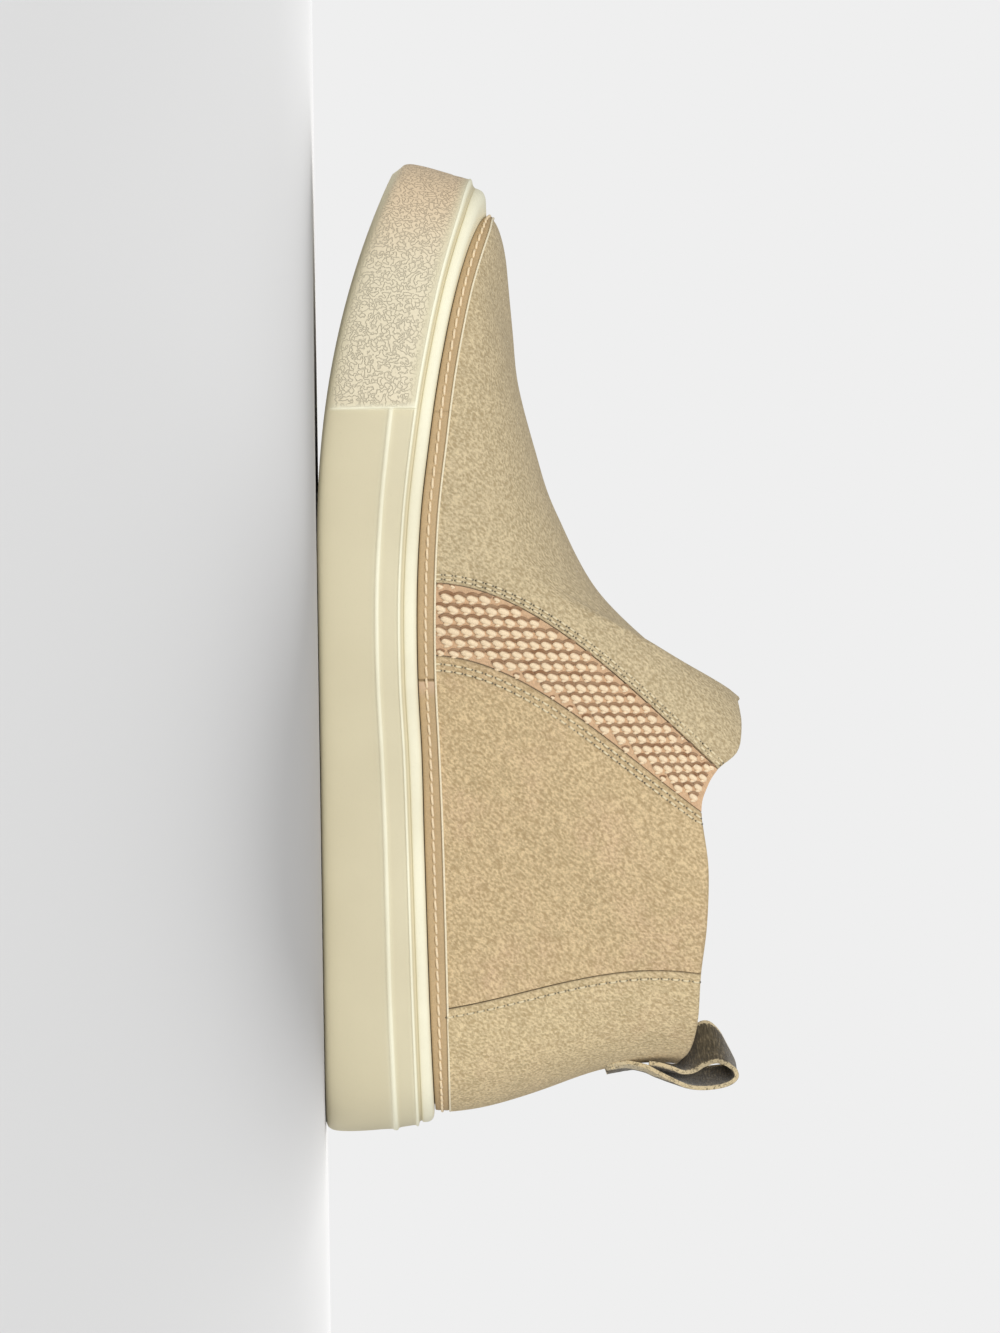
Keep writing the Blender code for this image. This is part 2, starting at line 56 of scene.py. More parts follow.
# Sizes of the solids. Only the webbing is thicker here than its solid is.
SOLE_LENGTH = 0.268
BALL_WIDTH = 0.098
COLLAR_HEIGHT = 0.104
WALL_HEIGHT = 0.029
TOE_SPRING = 0.0235
GAP = 0.0003
SUEDE_THICKNESS = 0.0012
LINING_THICKNESS = 0.0014
GORE_RECESS = 0.0005
COUNTER_STEP = 0.0005
RIM_INSET = 0.0048
TOE_RIM_INSET = 0.0112
SKIN_INSET = 0.0056
TOE_SKIN_INSET = 0.0162
FOOT_DRAFT = 0.0010
STRIP_PROUD = 0.0002
TOE_STRIP_PROUD = 0.0022
TOE_STRIP_BACK = 0.0001
INSOLE_THICKNESS = 0.0055
SPRING_START = 0.42
SPRING_POWER = 2.3
TREAD_INSET = 0.0030
ARCH_START = 0.50
ARCH_END = 0.72
ARCH_RISE = 0.0030
ARCH_EDGE = 0.3
BUMPER_END = 0.256
TOE_REACH = 0.17
GROOVE_WIDTH = 0.0026
GROOVE_DEPTH = 0.0016
GROOVE_PITCH = 0.0125
GROOVE_MARGIN = 0.0110
FOREFOOT_GROOVES = 8
FOREFOOT_GROOVE_START = 0.13
HEEL_GROOVES = 4
HEEL_GROOVE_START = 0.785
LOOP_WIDTH = 0.0140
LOOP_THICKNESS = 0.0014
LOOP_HEIGHT = 0.0170
LEVEL_EDGE = 0.1
STRIP_TOP = 0.001

# Part of the surface by the toe's tip whose directions stay in the middle plane
TIP_RIBS = 0.6
TIP_START = 0.8
TIP_FADE = 0.15

# Outline of the sole: share of the length, half width on the outer and on the inner side
OUTLINE = (
    (0.000, 0.000, 0.000),
    (0.010, 0.138, 0.152),
    (0.038, 0.250, 0.285),
    (0.085, 0.340, 0.390),
    (0.155, 0.420, 0.464),
    (0.245, 0.484, 0.502),
    (0.345, 0.508, 0.490),
    (0.460, 0.492, 0.440),
    (0.580, 0.440, 0.378),
    (0.700, 0.396, 0.350),
    (0.810, 0.370, 0.350),
    (0.895, 0.334, 0.328),
    (0.957, 0.258, 0.258),
    (0.990, 0.140, 0.140),
    (1.000, 0.000, 0.000),
)

# Lines along the wall: share of the length, lower rib, upper rib, rim, top of the strip, cup floor
LEVELS = (
    (0.000, 0.52, 0.700, 0.838, 0.900, 0.30),
    (0.052, 0.58, 0.793, 0.928, 1.066, 0.30),
    (0.130, 0.62, 0.845, 0.990, 1.138, 0.30),
    (0.200, 0.63, 0.866, 1.017, 1.169, 0.30),
    (0.287, 0.64, 0.855, 1.017, 1.179, 0.30),
    (0.369, 0.61, 0.814, 0.976, 1.138, 0.31),
    (0.451, 0.57, 0.772, 0.938, 1.103, 0.34),
    (0.534, 0.57, 0.769, 0.934, 1.097, 0.38),
    (0.616, 0.60, 0.800, 0.962, 1.124, 0.42),
    (0.700, 0.62, 0.817, 0.972, 1.145, 0.45),
    (0.866, 0.64, 0.845, 1.000, 1.166, 0.48),
    (1.000, 0.68, 0.876, 1.034, 1.176, 0.48),
)

# Section of the wall: level, inset on the plain side, on the bumper and at the toe tip, and the
# painted light and shade there (0 the lower panel, 1 a rib's painted highlight, -1 a groove's
# painted shade)
WALL = (
    (0.03, 0.22, 0.20, 0.15, 0.0),
    (0.16, 0.03, 0.01, 0.00, 0.0),
    (0.50, 0.02, 0.00, 0.09, 0.0),
    (0.93, 0.15, 0.05, 0.27, 0.0),
    (0.96, 0.03, 0.05, 0.28, 0.9),
    (1.04, 0.04, 0.06, 0.31, 0.9),
    (1.07, 0.20, 0.07, 0.32, 0.1),
    (1.50, 0.27, 0.12, 0.37, 0.15),
    (1.91, 0.34, 0.17, 0.43, 0.15),
    (1.94, 0.24, 0.11, 0.40, 1.0),
    (2.06, 0.26, 0.17, 0.44, 1.0),
    (2.10, 0.54, 0.54, 0.58, -1.0),
    (2.26, 0.60, 0.60, 0.65, -1.0),
    (2.30, 0.47, 0.47, 0.65, 0.7),
    (2.76, 0.52, 0.52, 0.72, 0.8),
    (2.96, 0.74, 0.74, 0.86, 0.9),
    (3.00, 1.00, 1.00, 1.00, 0.6),
)

# Ribs of the upper from the toe to the heel: foot, lower handle, upper handle and top point
RIBS = (
    (0.000, 0.005, 0.015, 1.000, -0.027, -0.005, 0.000, 0.114, 0.513, 0.000),
    (0.085, 0.006, 0.036, 0.965, -0.030, -0.008, 0.135, 0.175, 0.526, 0.000),
    (0.145, 0.004, 0.075, 0.975, -0.026, -0.012, 0.210, 0.232, 0.540, 0.000),
    (0.234, 0.003, 0.125, 0.975, -0.018, -0.013, 0.240, 0.300, 0.582, 0.000),
    (0.310, 0.006, 0.163, 0.970, -0.015, -0.016, 0.235, 0.366, 0.638, 0.000),
    (0.364, 0.007, 0.200, 0.970, -0.019, -0.036, 0.225, 0.448, 0.750, 0.000),
    (0.391, 0.007, 0.240, 0.980, -0.019, -0.070, 0.225, 0.519, 0.940, 0.000),
    (0.407, 0.004, 0.250, 0.980, -0.022, -0.090, 0.240, 0.554, 1.104, 0.000),
    (0.415, 0.003, 0.255, 0.980, -0.030, -0.105, 0.265, 0.560, 1.113, 0.095),
    (0.423, 0.002, 0.260, 0.980, -0.045, -0.150, 0.300, 0.585, 1.121, 0.190),
    (0.430, 0.002, 0.260, 0.983, -0.066, -0.200, 0.328, 0.612, 1.108, 0.252),
    (0.437, 0.003, 0.260, 0.985, -0.084, -0.229, 0.347, 0.630, 1.056, 0.290),
    (0.478, 0.004, 0.250, 0.980, -0.075, -0.227, 0.352, 0.649, 1.025, 0.311),
    (0.513, 0.006, 0.245, 0.975, -0.070, -0.240, 0.347, 0.674, 1.009, 0.321),
    (0.612, 0.004, 0.240, 0.960, -0.037, -0.250, 0.347, 0.731, 1.024, 0.337),
    (0.731, 0.000, 0.240, 0.955, -0.008, -0.250, 0.337, 0.791, 1.018, 0.332),
    (0.877, -0.013, 0.230, 0.980, -0.017, -0.240, 0.305, 0.841, 1.001, 0.296),
    (0.942, -0.011, 0.230, 0.980, -0.013, -0.240, 0.232, 0.890, 0.991, 0.220),
    (0.982, -0.009, 0.230, 0.980, -0.009, -0.250, 0.130, 0.919, 0.971, 0.117),
    (1.000, -0.005, 0.234, 1.000, -0.012, -0.226, 0.000, 0.934, 0.937, 0.000),
)
TAB_START = 7
VAMP_EDGE = 11
GORE_EDGE = 13
COUNTER_EDGE = 16
BACK_SEAM = len(RIBS) - 1

# Route of the pull loop, as shares of its height from the back point of the collar: the edge on
# the outer side of the foot, then the edge on the inner side
LOOP = (
    (-0.020, -0.46, -0.020, -0.46),
    (0.010, -0.28, 0.010, -0.28),
    (0.075, -0.08, 0.040, -0.02),
    (0.140, 0.08, -0.090, 0.10),
    (0.135, 0.26, -0.400, 0.21),
    (0.045, 0.44, -0.630, 0.34),
    (-0.010, 0.62, -0.665, 0.50),
    (0.015, 0.77, -0.520, 0.66),
    (0.075, 0.88, -0.310, 0.775),
    (0.140, 0.945, -0.130, 0.865),
    (0.235, 0.955, -0.010, 0.915),
    (0.325, 0.86, 0.040, 0.88),
    (0.385, 0.68, 0.060, 0.70),
    (0.408, 0.42, 0.090, 0.42),
    (0.375, 0.17, 0.130, 0.17),
    (0.265, -0.08, 0.160, -0.08),
    (0.130, -0.34, 0.120, -0.34),
    (0.030, -0.54, 0.040, -0.54),
    (-0.040, -0.87, -0.030, -0.87),
    (-0.040, -1.16, -0.030, -1.16),
)

OUTER, INNER = -1, 1
BOTH = (OUTER, INNER)
SIDE_NAMES = ((OUTER, "lateral"), (INNER, "medial"))
MM = 0.001

# Angles in degrees past which an edge shows sharp, on soft and on firm pieces
SOFT_ANGLE = 50.0
FIRM_ANGLE = 60.0

# Closest and widest distances between the lines of the firm pieces
FINE_STEP = 0.6 * MM
WIDE_STEP = 1.6 * MM


def read_table(table, keys):
    """Values of a table at any keys of its first column, on a smooth curve through its rows."""
    keys = np.asarray(keys, float)
    rows = table[:, 0]
    row = np.clip(np.searchsorted(rows, keys, side="right") - 1, 0, len(rows) - 2)
    below, above = np.maximum(row - 1, 0), np.minimum(row + 2, len(rows) - 1)
    span = rows[row + 1] - rows[row]
    part = ((keys - rows[row]) / span)[..., None]
    start, end = table[row, 1:], table[row + 1, 1:]
    start_slope = (end - table[below, 1:]) * (span / (rows[row + 1] - rows[below]))[..., None]
    end_slope = (table[above, 1:] - start) * (span / (rows[above] - rows[row]))[..., None]
    cube, square = part ** 3, part ** 2
    return (start * (2 * cube - 3 * square + 1) + start_slope * (cube - 2 * square + part)
            + end * (3 * square - 2 * cube) + end_slope * (cube - square))


def numbered(rows, first):
    """A table whose first column is the number of the row."""
    return np.array([(first + number, *row) for number, row in enumerate(rows)])


def mirrored(row):
    return (row[0], -row[1], -row[2])


OUTLINE_TABLE = numbered((mirrored(OUTLINE[1]), *OUTLINE, mirrored(OUTLINE[-2])), -1)
OUTLINE_END = len(OUTLINE) - 1
LEVEL_TABLE = np.array(LEVELS)
RIB_TABLE = numbered(RIBS, 0)
SIDE_SHIFT = BALL_WIDTH * (max(row[1] for row in OUTLINE) - max(row[2] for row in OUTLINE)) / 2


def blend(first, second, share):
    return first + (second - first) * share


def smooth_step(value):
    value = np.clip(value, 0, 1)
    return value * value * (3 - 2 * value)


def unit(vectors):
    """The same directions with a length of one."""
    return vectors / np.linalg.norm(vectors, axis=-1, keepdims=True)


def bell(away, width):
    """One in the middle, falling to almost nothing at two widths away."""
    return np.exp(-(away / width) ** 2)


def outline_point(turn, side):
    """Points of the sole's outline at row numbers, which need not be whole."""
    share, outer, inner = np.moveaxis(read_table(OUTLINE_TABLE, turn), -1, 0)
    half = outer if side == OUTER else inner
    return np.stack(((share - 0.5) * SOLE_LENGTH, side * half * BALL_WIDTH + SIDE_SHIFT), -1)


def inset_point(turn, side, inset):
    """Points at a distance inside the outline, square to it."""
    turn = np.asarray(turn, float)
    step = 0.01
    along = outline_point(turn + step, side) - outline_point(turn - step, side)
    inward = unit(np.stack((-along[..., 1], along[..., 0]), -1) * -side)
    inward[turn <= 0] = (1, 0)
    inward[turn >= OUTLINE_END] = (-1, 0)
    return outline_point(turn, side) + inward * np.asarray(inset)[..., None]


def turn_of_share(share):
    """Row numbers of the outline at shares of the length."""
    low, high = np.zeros_like(share, dtype=float), np.full_like(share, OUTLINE_END, dtype=float)
    for _ in range(40):
        middle = (low + high) / 2
        is_below = read_table(OUTLINE_TABLE, middle)[..., 0] < share
        low, high = np.where(is_below, middle, low), np.where(is_below, high, middle)
    return np.round((low + high) / 2, 6)


RIB_TURNS = numbered([(turn,) for turn in turn_of_share(RIB_TABLE[:, 1])], 0)


def rib_turn(u):
    return read_table(RIB_TURNS, u)[..., 0]


def underside(x):
    """Height of the sole's underside, with the toe spring."""
    start = (SPRING_START - 0.5) * SOLE_LENGTH
    return TOE_SPRING * np.maximum(0.0, (start - x) / (start + SOLE_LENGTH / 2)) ** SPRING_POWER


def toe_share(x):
    """One at the toe tip, falling to nothing where the toe's round ends."""
    return np.clip(1 - (x / SOLE_LENGTH + 0.5) / TOE_REACH, 0, 1) ** 2


def levels(x):
    """Heights of the lower rib, upper rib, rim, strip and cup floor, on the last axis."""
    shares = read_table(LEVEL_TABLE, np.clip(x / SOLE_LENGTH + 0.5, 0, 1))
    return underside(x)[..., None] + shares * WALL_HEIGHT


def levels_at(u, side):
    """The same heights at ribs of one side."""
    return levels(outline_point(rib_turn(u), side)[..., 0])


def toe_at(u):
    """Share of the toe at ribs."""
    return toe_share(outline_point(rib_turn(u), OUTER)[..., 0])


def foot_point(u, side, height):
    """Points of the skin below the top of the strip, at the heights given."""
    turn = rib_turn(u)
    x = outline_point(turn, side)[..., 0]
    top, floor = np.moveaxis(levels(x)[..., 3:], -1, 0)
    depth = (top - height) / (top - floor)
    inset = blend(SKIN_INSET, TOE_SKIN_INSET, toe_share(x)) + FOOT_DRAFT * depth
    return np.concatenate((inset_point(turn, side, inset), np.asarray(height)[..., None]), -1)


def skin(u, v, side):
    """Outer face of the suede. u counts ribs from the toe to the heel. v runs from -1 on the
    cup's floor to 0 at the top of the strip and 1 at the ridge or the collar."""
    u, v = np.broadcast_arrays(np.asarray(u, float), np.asarray(v, float))
    top_of_strip, floor = np.moveaxis(levels_at(u, side)[..., 3:], -1, 0)
    under = foot_point(u, side, blend(top_of_strip, floor + GAP, np.clip(-v, 0, None)))
    foot, other = (foot_point(u, each, top_of_strip) for each in (side, -side))
    rib = np.moveaxis(read_table(RIB_TABLE, u), -1, 0)
    _, rise_x, rise_z, rise_w, over_x, over_z, over_w, top_x, top_z, top_w = rib
    centre = (foot[..., 1] + other[..., 1]) / 2
    half = side * BALL_WIDTH
    top = np.stack(((top_x - 0.5) * SOLE_LENGTH, centre + half * np.maximum(top_w, 0),
                    top_z * COLLAR_HEIGHT), -1)
    rise = foot + np.stack((rise_x * SOLE_LENGTH, (foot[..., 1] - centre) * (rise_w - 1),
                            rise_z * COLLAR_HEIGHT), -1)
    over = np.stack((top[..., 0] + over_x * SOLE_LENGTH, centre + half * np.maximum(over_w, 0),
                     top[..., 2] + over_z * COLLAR_HEIGHT), -1)
    v = v[..., None]
    w = 1 - v
    upper = w ** 3 * foot + 3 * w * w * v * rise + 3 * w * v * v * over + v ** 3 * top
    return np.where(v <= 0, under, upper)


def on_ridge(u):
    """True where a rib ends on the centre line, in front of the tab."""
    return read_table(RIB_TABLE, u)[..., 9] <= 1e-6


def side_normal(u, v, side):
    """Directions out of the shoe, from one side of the surface."""
    rise, turn = 0.06, 0.15
    low = np.where((v >= 0) & (v <= 1 - rise), v, v - rise)
    upward = skin(u, low + rise, side) - skin(u, low, side)
    along = skin(np.minimum(u + turn, BACK_SEAM), v, side) - skin(np.maximum(u - turn, 0), v, side)
    normal = np.cross(upward, along) * side
    ends = np.stack((-upward[..., 2], np.zeros_like(u), upward[..., 0]), -1)
    normal = np.where((u <= 0)[..., None], ends, normal)
    normal = unit(np.where((u >= BACK_SEAM)[..., None], -ends, normal))
    at_tip = (1 - smooth_step(u / TIP_RIBS)) * smooth_step((v - TIP_START) / TIP_FADE)
    return unit(blend(normal, unit(ends), at_tip[..., None]))


def skin_normal(u, v, side):
    """Directions out of the shoe: level where a panel starts, and shared along the ridge."""
    u, v = np.broadcast_arrays(np.asarray(u, float), np.asarray(v, float))
    normal = side_normal(u, v, side)
    shared = normal + side_normal(u, v, -side)
    normal = np.where(((v >= 1) & on_ridge(u))[..., None], shared, normal)
    level = np.where(v > 0, smooth_step(v / LEVEL_EDGE - 0.2), 1.0)
    return unit(normal * np.stack((np.ones_like(level), np.ones_like(level), level), -1))


def layer(u, v, side, offset):
    """Points at a distance outside the skin, or inside it where the distance is negative."""
    return skin(u, v, side) + skin_normal(u, v, side) * np.asarray(offset)[..., None]


def v_of_height(u, side, height):
    """Places below the top of the strip that have the heights given."""
    top, floor = np.moveaxis(levels_at(u, side)[..., 3:], -1, 0)
    return (height - top) / (top - floor - GAP)


def rim_height(u, side):
    return levels_at(u, side)[..., 2]


def rib_of_share(share):
    """Rib number whose foot stands at a share of the sole's length."""
    turn, low, high = float(turn_of_share(np.array(share))), 0.0, float(BACK_SEAM)
    for _ in range(40):
        middle = (low + high) / 2
        low, high = (middle, high) if rib_turn(middle) < turn else (low, middle)
    return (low + high) / 2


def rib_near(x, v):
    """Rib number whose point at v lies at a length x of the shoe, on the outer side."""
    u = np.linspace(0, BACK_SEAM, 4000)
    return float(np.interp(x, skin(u, np.full_like(u, v), OUTER)[:, 0], u))


# Making of meshes

def graded(length, fine, coarse, growth=1.3):
    """Distances along a line, close together at both of its ends."""
    places, step = [0.0], fine
    while places[-1] + step < length / 2 - step / 2:
        places.append(places[-1] + step)
        step = min(coarse, step * growth)
    middle = np.arange(1, max(1, round((length - 2 * places[-1]) / coarse)))
    span = (length - 2 * places[-1]) / (len(middle) + 1)
    return np.concatenate((places, places[-1] + middle * span, length - np.array(places[::-1])))


def graded_ribs(first, last, fine, coarse, extra=()):
    """Rib numbers of a piece's lines, evenly apart but closer at its ends."""
    u = np.linspace(first, last, 600)
    lines = [skin(u, np.full_like(u, v), OUTER) for v in (0.05, 0.5, 1.0)]
    steps = sum(np.linalg.norm(np.diff(line, axis=0), axis=1) for line in lines) / len(lines)
    lengths = np.concatenate(((0,), np.cumsum(steps)))
    found = np.interp(graded(lengths[-1], fine, coarse), lengths, u)
    for value in extra:
        found[np.argmin(abs(found - value))] = value
    return found


def graded_heights(u, fine, coarse):
    """Places of a panel's lines from the strip to its upper edge."""
    v = np.linspace(0, 1, 300)
    steps = np.linalg.norm(np.diff(skin(np.full_like(v, u), v, OUTER), axis=0), axis=1)
    lengths = np.concatenate(((0,), np.cumsum(steps)))
    return np.interp(graded(lengths[-1], fine, coarse), lengths, v)


def distance_to(points, line):
    """Shortest distance of each point to the points of a line."""
    flat = points.reshape(-1, 3)
    away = np.empty(len(flat))
    for start in range(0, len(flat), 4000):
        part = flat[start:start + 4000, None] - line[None]
        away[start:start + 4000] = np.sqrt((part * part).sum(-1).min(1))
    return away.reshape(points.shape[:-1])


def grid_numbers(rows, columns, start=0):
    return start + np.arange(rows * columns).reshape(rows, columns)


def grid_faces(numbers):
    """Quads of a grid of numbered points."""
    return np.stack((numbers[:-1, :-1], numbers[1:, :-1], numbers[1:, 1:], numbers[:-1, 1:]),
                    -1).reshape(-1, 4)


def band_faces(first, second):
    """Quads between two equal rows of numbered points."""
    return np.stack((first[:-1], first[1:], second[1:], second[:-1]), -1)


def both_sides(grid_of):
    """Rows of values and quads of a piece, from a function that gives the grid of each side."""
    grids = np.stack([grid_of(side) for side in BOTH])
    numbers = np.arange(grids[..., 0].size).reshape(grids.shape[:3])
    return grids.reshape(-1, grids.shape[-1]), np.concatenate([grid_faces(n) for n in numbers])


def make_mesh(name, verts, faces, marks=None, smooth_angle=SOFT_ANGLE, merge=True):
    """Mesh with its doubles merged and its faces outwards. marks are numbers kept at its points."""
    mesh = bpy.data.meshes.new(name)
    verts = np.asarray(verts, float).reshape(-1, 3)
    mesh.from_pydata(verts.tolist(), [], [list(map(int, face)) for face in faces])
    for mark, values in (marks or {}).items():
        layer_of_mark = mesh.attributes.new(mark, "FLOAT", "POINT")
        layer_of_mark.data.foreach_set("value", np.asarray(values, np.float32).ravel())
    if merge:
        tidy = bmesh.new()
        tidy.from_mesh(mesh)
        bmesh.ops.remove_doubles(tidy, verts=tidy.verts, dist=0.005 * MM)
        bmesh.ops.dissolve_degenerate(tidy, edges=tidy.edges, dist=0.001 * MM)
        bmesh.ops.recalc_face_normals(tidy, faces=tidy.faces)
        tidy.to_mesh(mesh)
        tidy.free()
    mesh.shade_smooth()
    mesh.set_sharp_from_angle(angle=math.radians(smooth_angle))
    return mesh


def new_object(name, data):
    thing = bpy.data.objects.new(name, data)
    bpy.context.scene.collection.objects.link(thing)
    return thing


def make_object(name, mesh, material, slot, *replaced):
    """Piece of the shoe: it rides on the body, and stands for the solids that it replaces."""
    mesh.materials.clear()
    mesh.materials.append(material)
    piece = new_object(name, mesh)
    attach(piece, "root")
    if replaced:
        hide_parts(*replaced)
    return piece


def make_shell(name, sides, u_of, v, outside, inside, marks=None, smooth_angle=SOFT_ANGLE):
    """Sheet between two grids of points, closed along its free edges. u_of gives a side's grid of
    rib numbers, outside and inside the points, and marks the numbers kept at them."""
    verts, faces, kept = [], [], {}
    count = 0
    for side in sides:
        u = u_of(side)
        outer, inner = outside(u, v, side), inside(u, v, side)
        rows, columns = u.shape
        front = grid_numbers(rows, columns, count)
        back = front + rows * columns
        count += 2 * rows * columns
        verts += [outer.reshape(-1, 3), inner.reshape(-1, 3)]
        faces += [grid_faces(front), grid_faces(back), band_faces(front[:, 0], back[:, 0])]
        closed = on_ridge(u[:, -1]) & (v[:, -1] >= 1)
        free = ~(closed[:-1] & closed[1:])
        faces.append(band_faces(front[:, -1], back[:, -1])[free])
        for row in (0, -1):
            if 1e-9 < u[row, 0] < BACK_SEAM - 1e-9:
                faces.append(band_faces(front[row], back[row]))
        for mark, value_at in (marks or {}).items():
            values = value_at(u, v, side, outer)
            kept.setdefault(mark, []).extend((values.ravel(), np.zeros(values.size)))
    return make_mesh(name, np.concatenate(verts), np.concatenate(faces),
                     {mark: np.concatenate(values) for mark, values in kept.items()}, smooth_angle)


def edge_shift(u, v, side, direction):
    """Change of rib number that moves an edge of a panel by half the gap."""
    step = 0.02 * direction
    away = np.linalg.norm(skin(u + step, v, side) - skin(u, v, side), axis=-1)
    return GAP / 2 * step / away


def panel_ribs(lines, v):
    """Function that gives the grid of rib numbers of a panel, with half a gap at its free edges."""
    def grid(side):
        u = np.repeat(lines[:, None], v.shape[1], 1)
        if lines[0] > 0:
            u[0] += edge_shift(u[0], v[0], side, 1)
        if lines[-1] < BACK_SEAM:
            u[-1] += edge_shift(u[-1], v[-1], side, -1)
        return u
    return grid


def straight_ribs(lines, columns):
    """Function that gives the same grid of rib numbers on both sides."""
    grid = np.repeat(lines[:, None], columns, 1)
    return lambda side: grid


def back_face(u, v, side):
    """Inner face of a panel, which lies on the lining."""
    return layer(u, v, side, np.full(u.shape, -SUEDE_THICKNESS))


def ripple(points):
    """Slow rise and fall of hand-lasted leather, between -1 and 1."""
    x, y, z = np.moveaxis(points / MM, -1, 0)
    waves = (np.sin(x / 7.1 + 0.6 * np.sin(z / 9.3)) * np.sin(z / 6.3 + 1.9)
             + np.sin((x + z) / 11.7 + 0.8) + 0.6 * np.sin((x - 1.3 * z) / 5.1 + y / 8.0))
    return waves / 2.6


def crease(points, start, end, half_width, depth):
    """Soft trough along a line in the side view, given in millimetres, that fades at its ends."""
    start, end = np.array(start) * MM, np.array(end) * MM
    along = (end - start) / np.linalg.norm(end - start)
    flat = points[..., (0, 2)] - start
    share = flat @ along / np.linalg.norm(end - start)
    away = abs(flat[..., 0] * along[1] - flat[..., 1] * along[0])
    fade = smooth_step((share + 0.25) / 0.5) * smooth_step((1.25 - share) / 0.5)
    return -depth * MM * bell(away, half_width * MM) * fade


def corner_cut(points, rounds):
    """Chain of points with its corners rounded. points has the chain on its first axis."""
    for _ in range(rounds):
        low, high = blend(points[:-1], points[1:], 0.25), blend(points[:-1], points[1:], 0.75)
        cut = np.stack((low, high), 1).reshape(-1, *points.shape[1:])
        points = np.concatenate((points[:1], cut[1:-1], points[-1:]))
    return points


def apply_tree(tree, name, source, values):
    """Plain mesh that a node tree makes from a source mesh."""
    source_object = new_object(name + "_source", source)
    modifier = source_object.modifiers.new(name, "NODES")
    modifier.node_group = tree
    for item in tree.interface.items_tree:
        if item.item_type == "SOCKET" and item.in_out == "INPUT" and item.name in values:
            modifier[item.identifier] = values[item.name]
    graph = bpy.context.evaluated_depsgraph_get()
    mesh = bpy.data.meshes.new_from_object(source_object.evaluated_get(graph))
    source_object.modifiers.remove(modifier)
    bpy.data.objects.remove(source_object)
    mesh.name = name
    return mesh


class Nodes:
    """A node tree, and short ways to add nodes to it."""

    def __init__(self, tree):
        self.tree = tree

    def add(self, kind, inputs=None, **settings):
        node = self.tree.nodes.new(kind)
        for key, value in settings.items():
            setattr(node, key, value)
        for key, value in (inputs or {}).items():
            self.feed(node.inputs[key], value)
        return node

    def feed(self, socket, value):
        if isinstance(value, bpy.types.NodeSocket):
            self.tree.links.new(value, socket)
        elif isinstance(value, bpy.types.Node):
            self.tree.links.new(value.outputs[0], socket)
        else:
            socket.default_value = value

    def math(self, operation, first, second=0.5):
        return self.add("ShaderNodeMath", {0: first, 1: second}, operation=operation).outputs[0]

    def vector(self, name):
        """Vectors kept at the points of the source mesh."""
        return self.add("GeometryNodeInputNamedAttribute", {"Name": name},
                        data_type="FLOAT_VECTOR")


def tree_with_inputs(name, sockets):
    """Geometry tree with named inputs, given as name, kind and default."""
    tree = bpy.data.node_groups.new(name, "GeometryNodeTree")
    tree.interface.new_socket("Geometry", in_out="INPUT", socket_type="NodeSocketGeometry")
    tree.interface.new_socket("Geometry", in_out="OUTPUT", socket_type="NodeSocketGeometry")
    for label, kind, default in sockets:
        socket = tree.interface.new_socket(label, in_out="INPUT", socket_type="NodeSocket" + kind)
        if default is not None:
            socket.default_value = default
    nodes = Nodes(tree)
    return nodes, nodes.add("NodeGroupInput"), nodes.add("NodeGroupOutput")


def facing_rotation(nodes, along, facing):
    """Turn of an instance whose X lies along a seam and whose Z faces out of the shoe."""
    turned = nodes.add("FunctionNodeAlignRotationToVector", {"Vector": along}, axis="X")
    return nodes.add("FunctionNodeAlignRotationToVector", {"Rotation": turned, "Vector": facing},
                     axis="Z", pivot_axis="X")


def end_tree(nodes, given, result, placed):
    """Real mesh with its finish, at the end of a tree."""
    real = nodes.add("GeometryNodeRealizeInstances", {"Geometry": placed})
    done = nodes.add("GeometryNodeSetMaterial",
                     {"Geometry": real, "Material": given.outputs["Finish"]})
    nodes.feed(result.inputs["Geometry"], done)
    return nodes.tree


def stitch_tree():
    """Tree that sets stitches along seams at an even pitch."""
    nodes, given, result = tree_with_inputs("stitches_along_seams", (
        ("Pitch", "Float", 0.0032), ("Thread", "Object", None), ("Slant", "Float", 0.0),
        ("Finish", "Material", None)))
    seams = nodes.add("GeometryNodeMeshToCurve", {"Mesh": given.outputs["Geometry"]})
    points = nodes.add("GeometryNodeCurveToPoints",
                       {"Curve": seams, "Length": given.outputs["Pitch"]}, mode="LENGTH")
    turn = facing_rotation(nodes, points.outputs["Tangent"], nodes.vector("facing"))
    slant = nodes.add("ShaderNodeCombineXYZ", {"Z": given.outputs["Slant"]})
    slanted = nodes.add("FunctionNodeRotateRotation", {"Rotation": turn, "Rotate By": slant},
                        rotation_space="LOCAL")
    thread = nodes.add("GeometryNodeObjectInfo", {"Object": given.outputs["Thread"]})
    placed = nodes.add("GeometryNodeInstanceOnPoints",
                       {"Points": points, "Instance": thread.outputs["Geometry"],
                        "Rotation": slanted})
    return end_tree(nodes, given, result, placed)


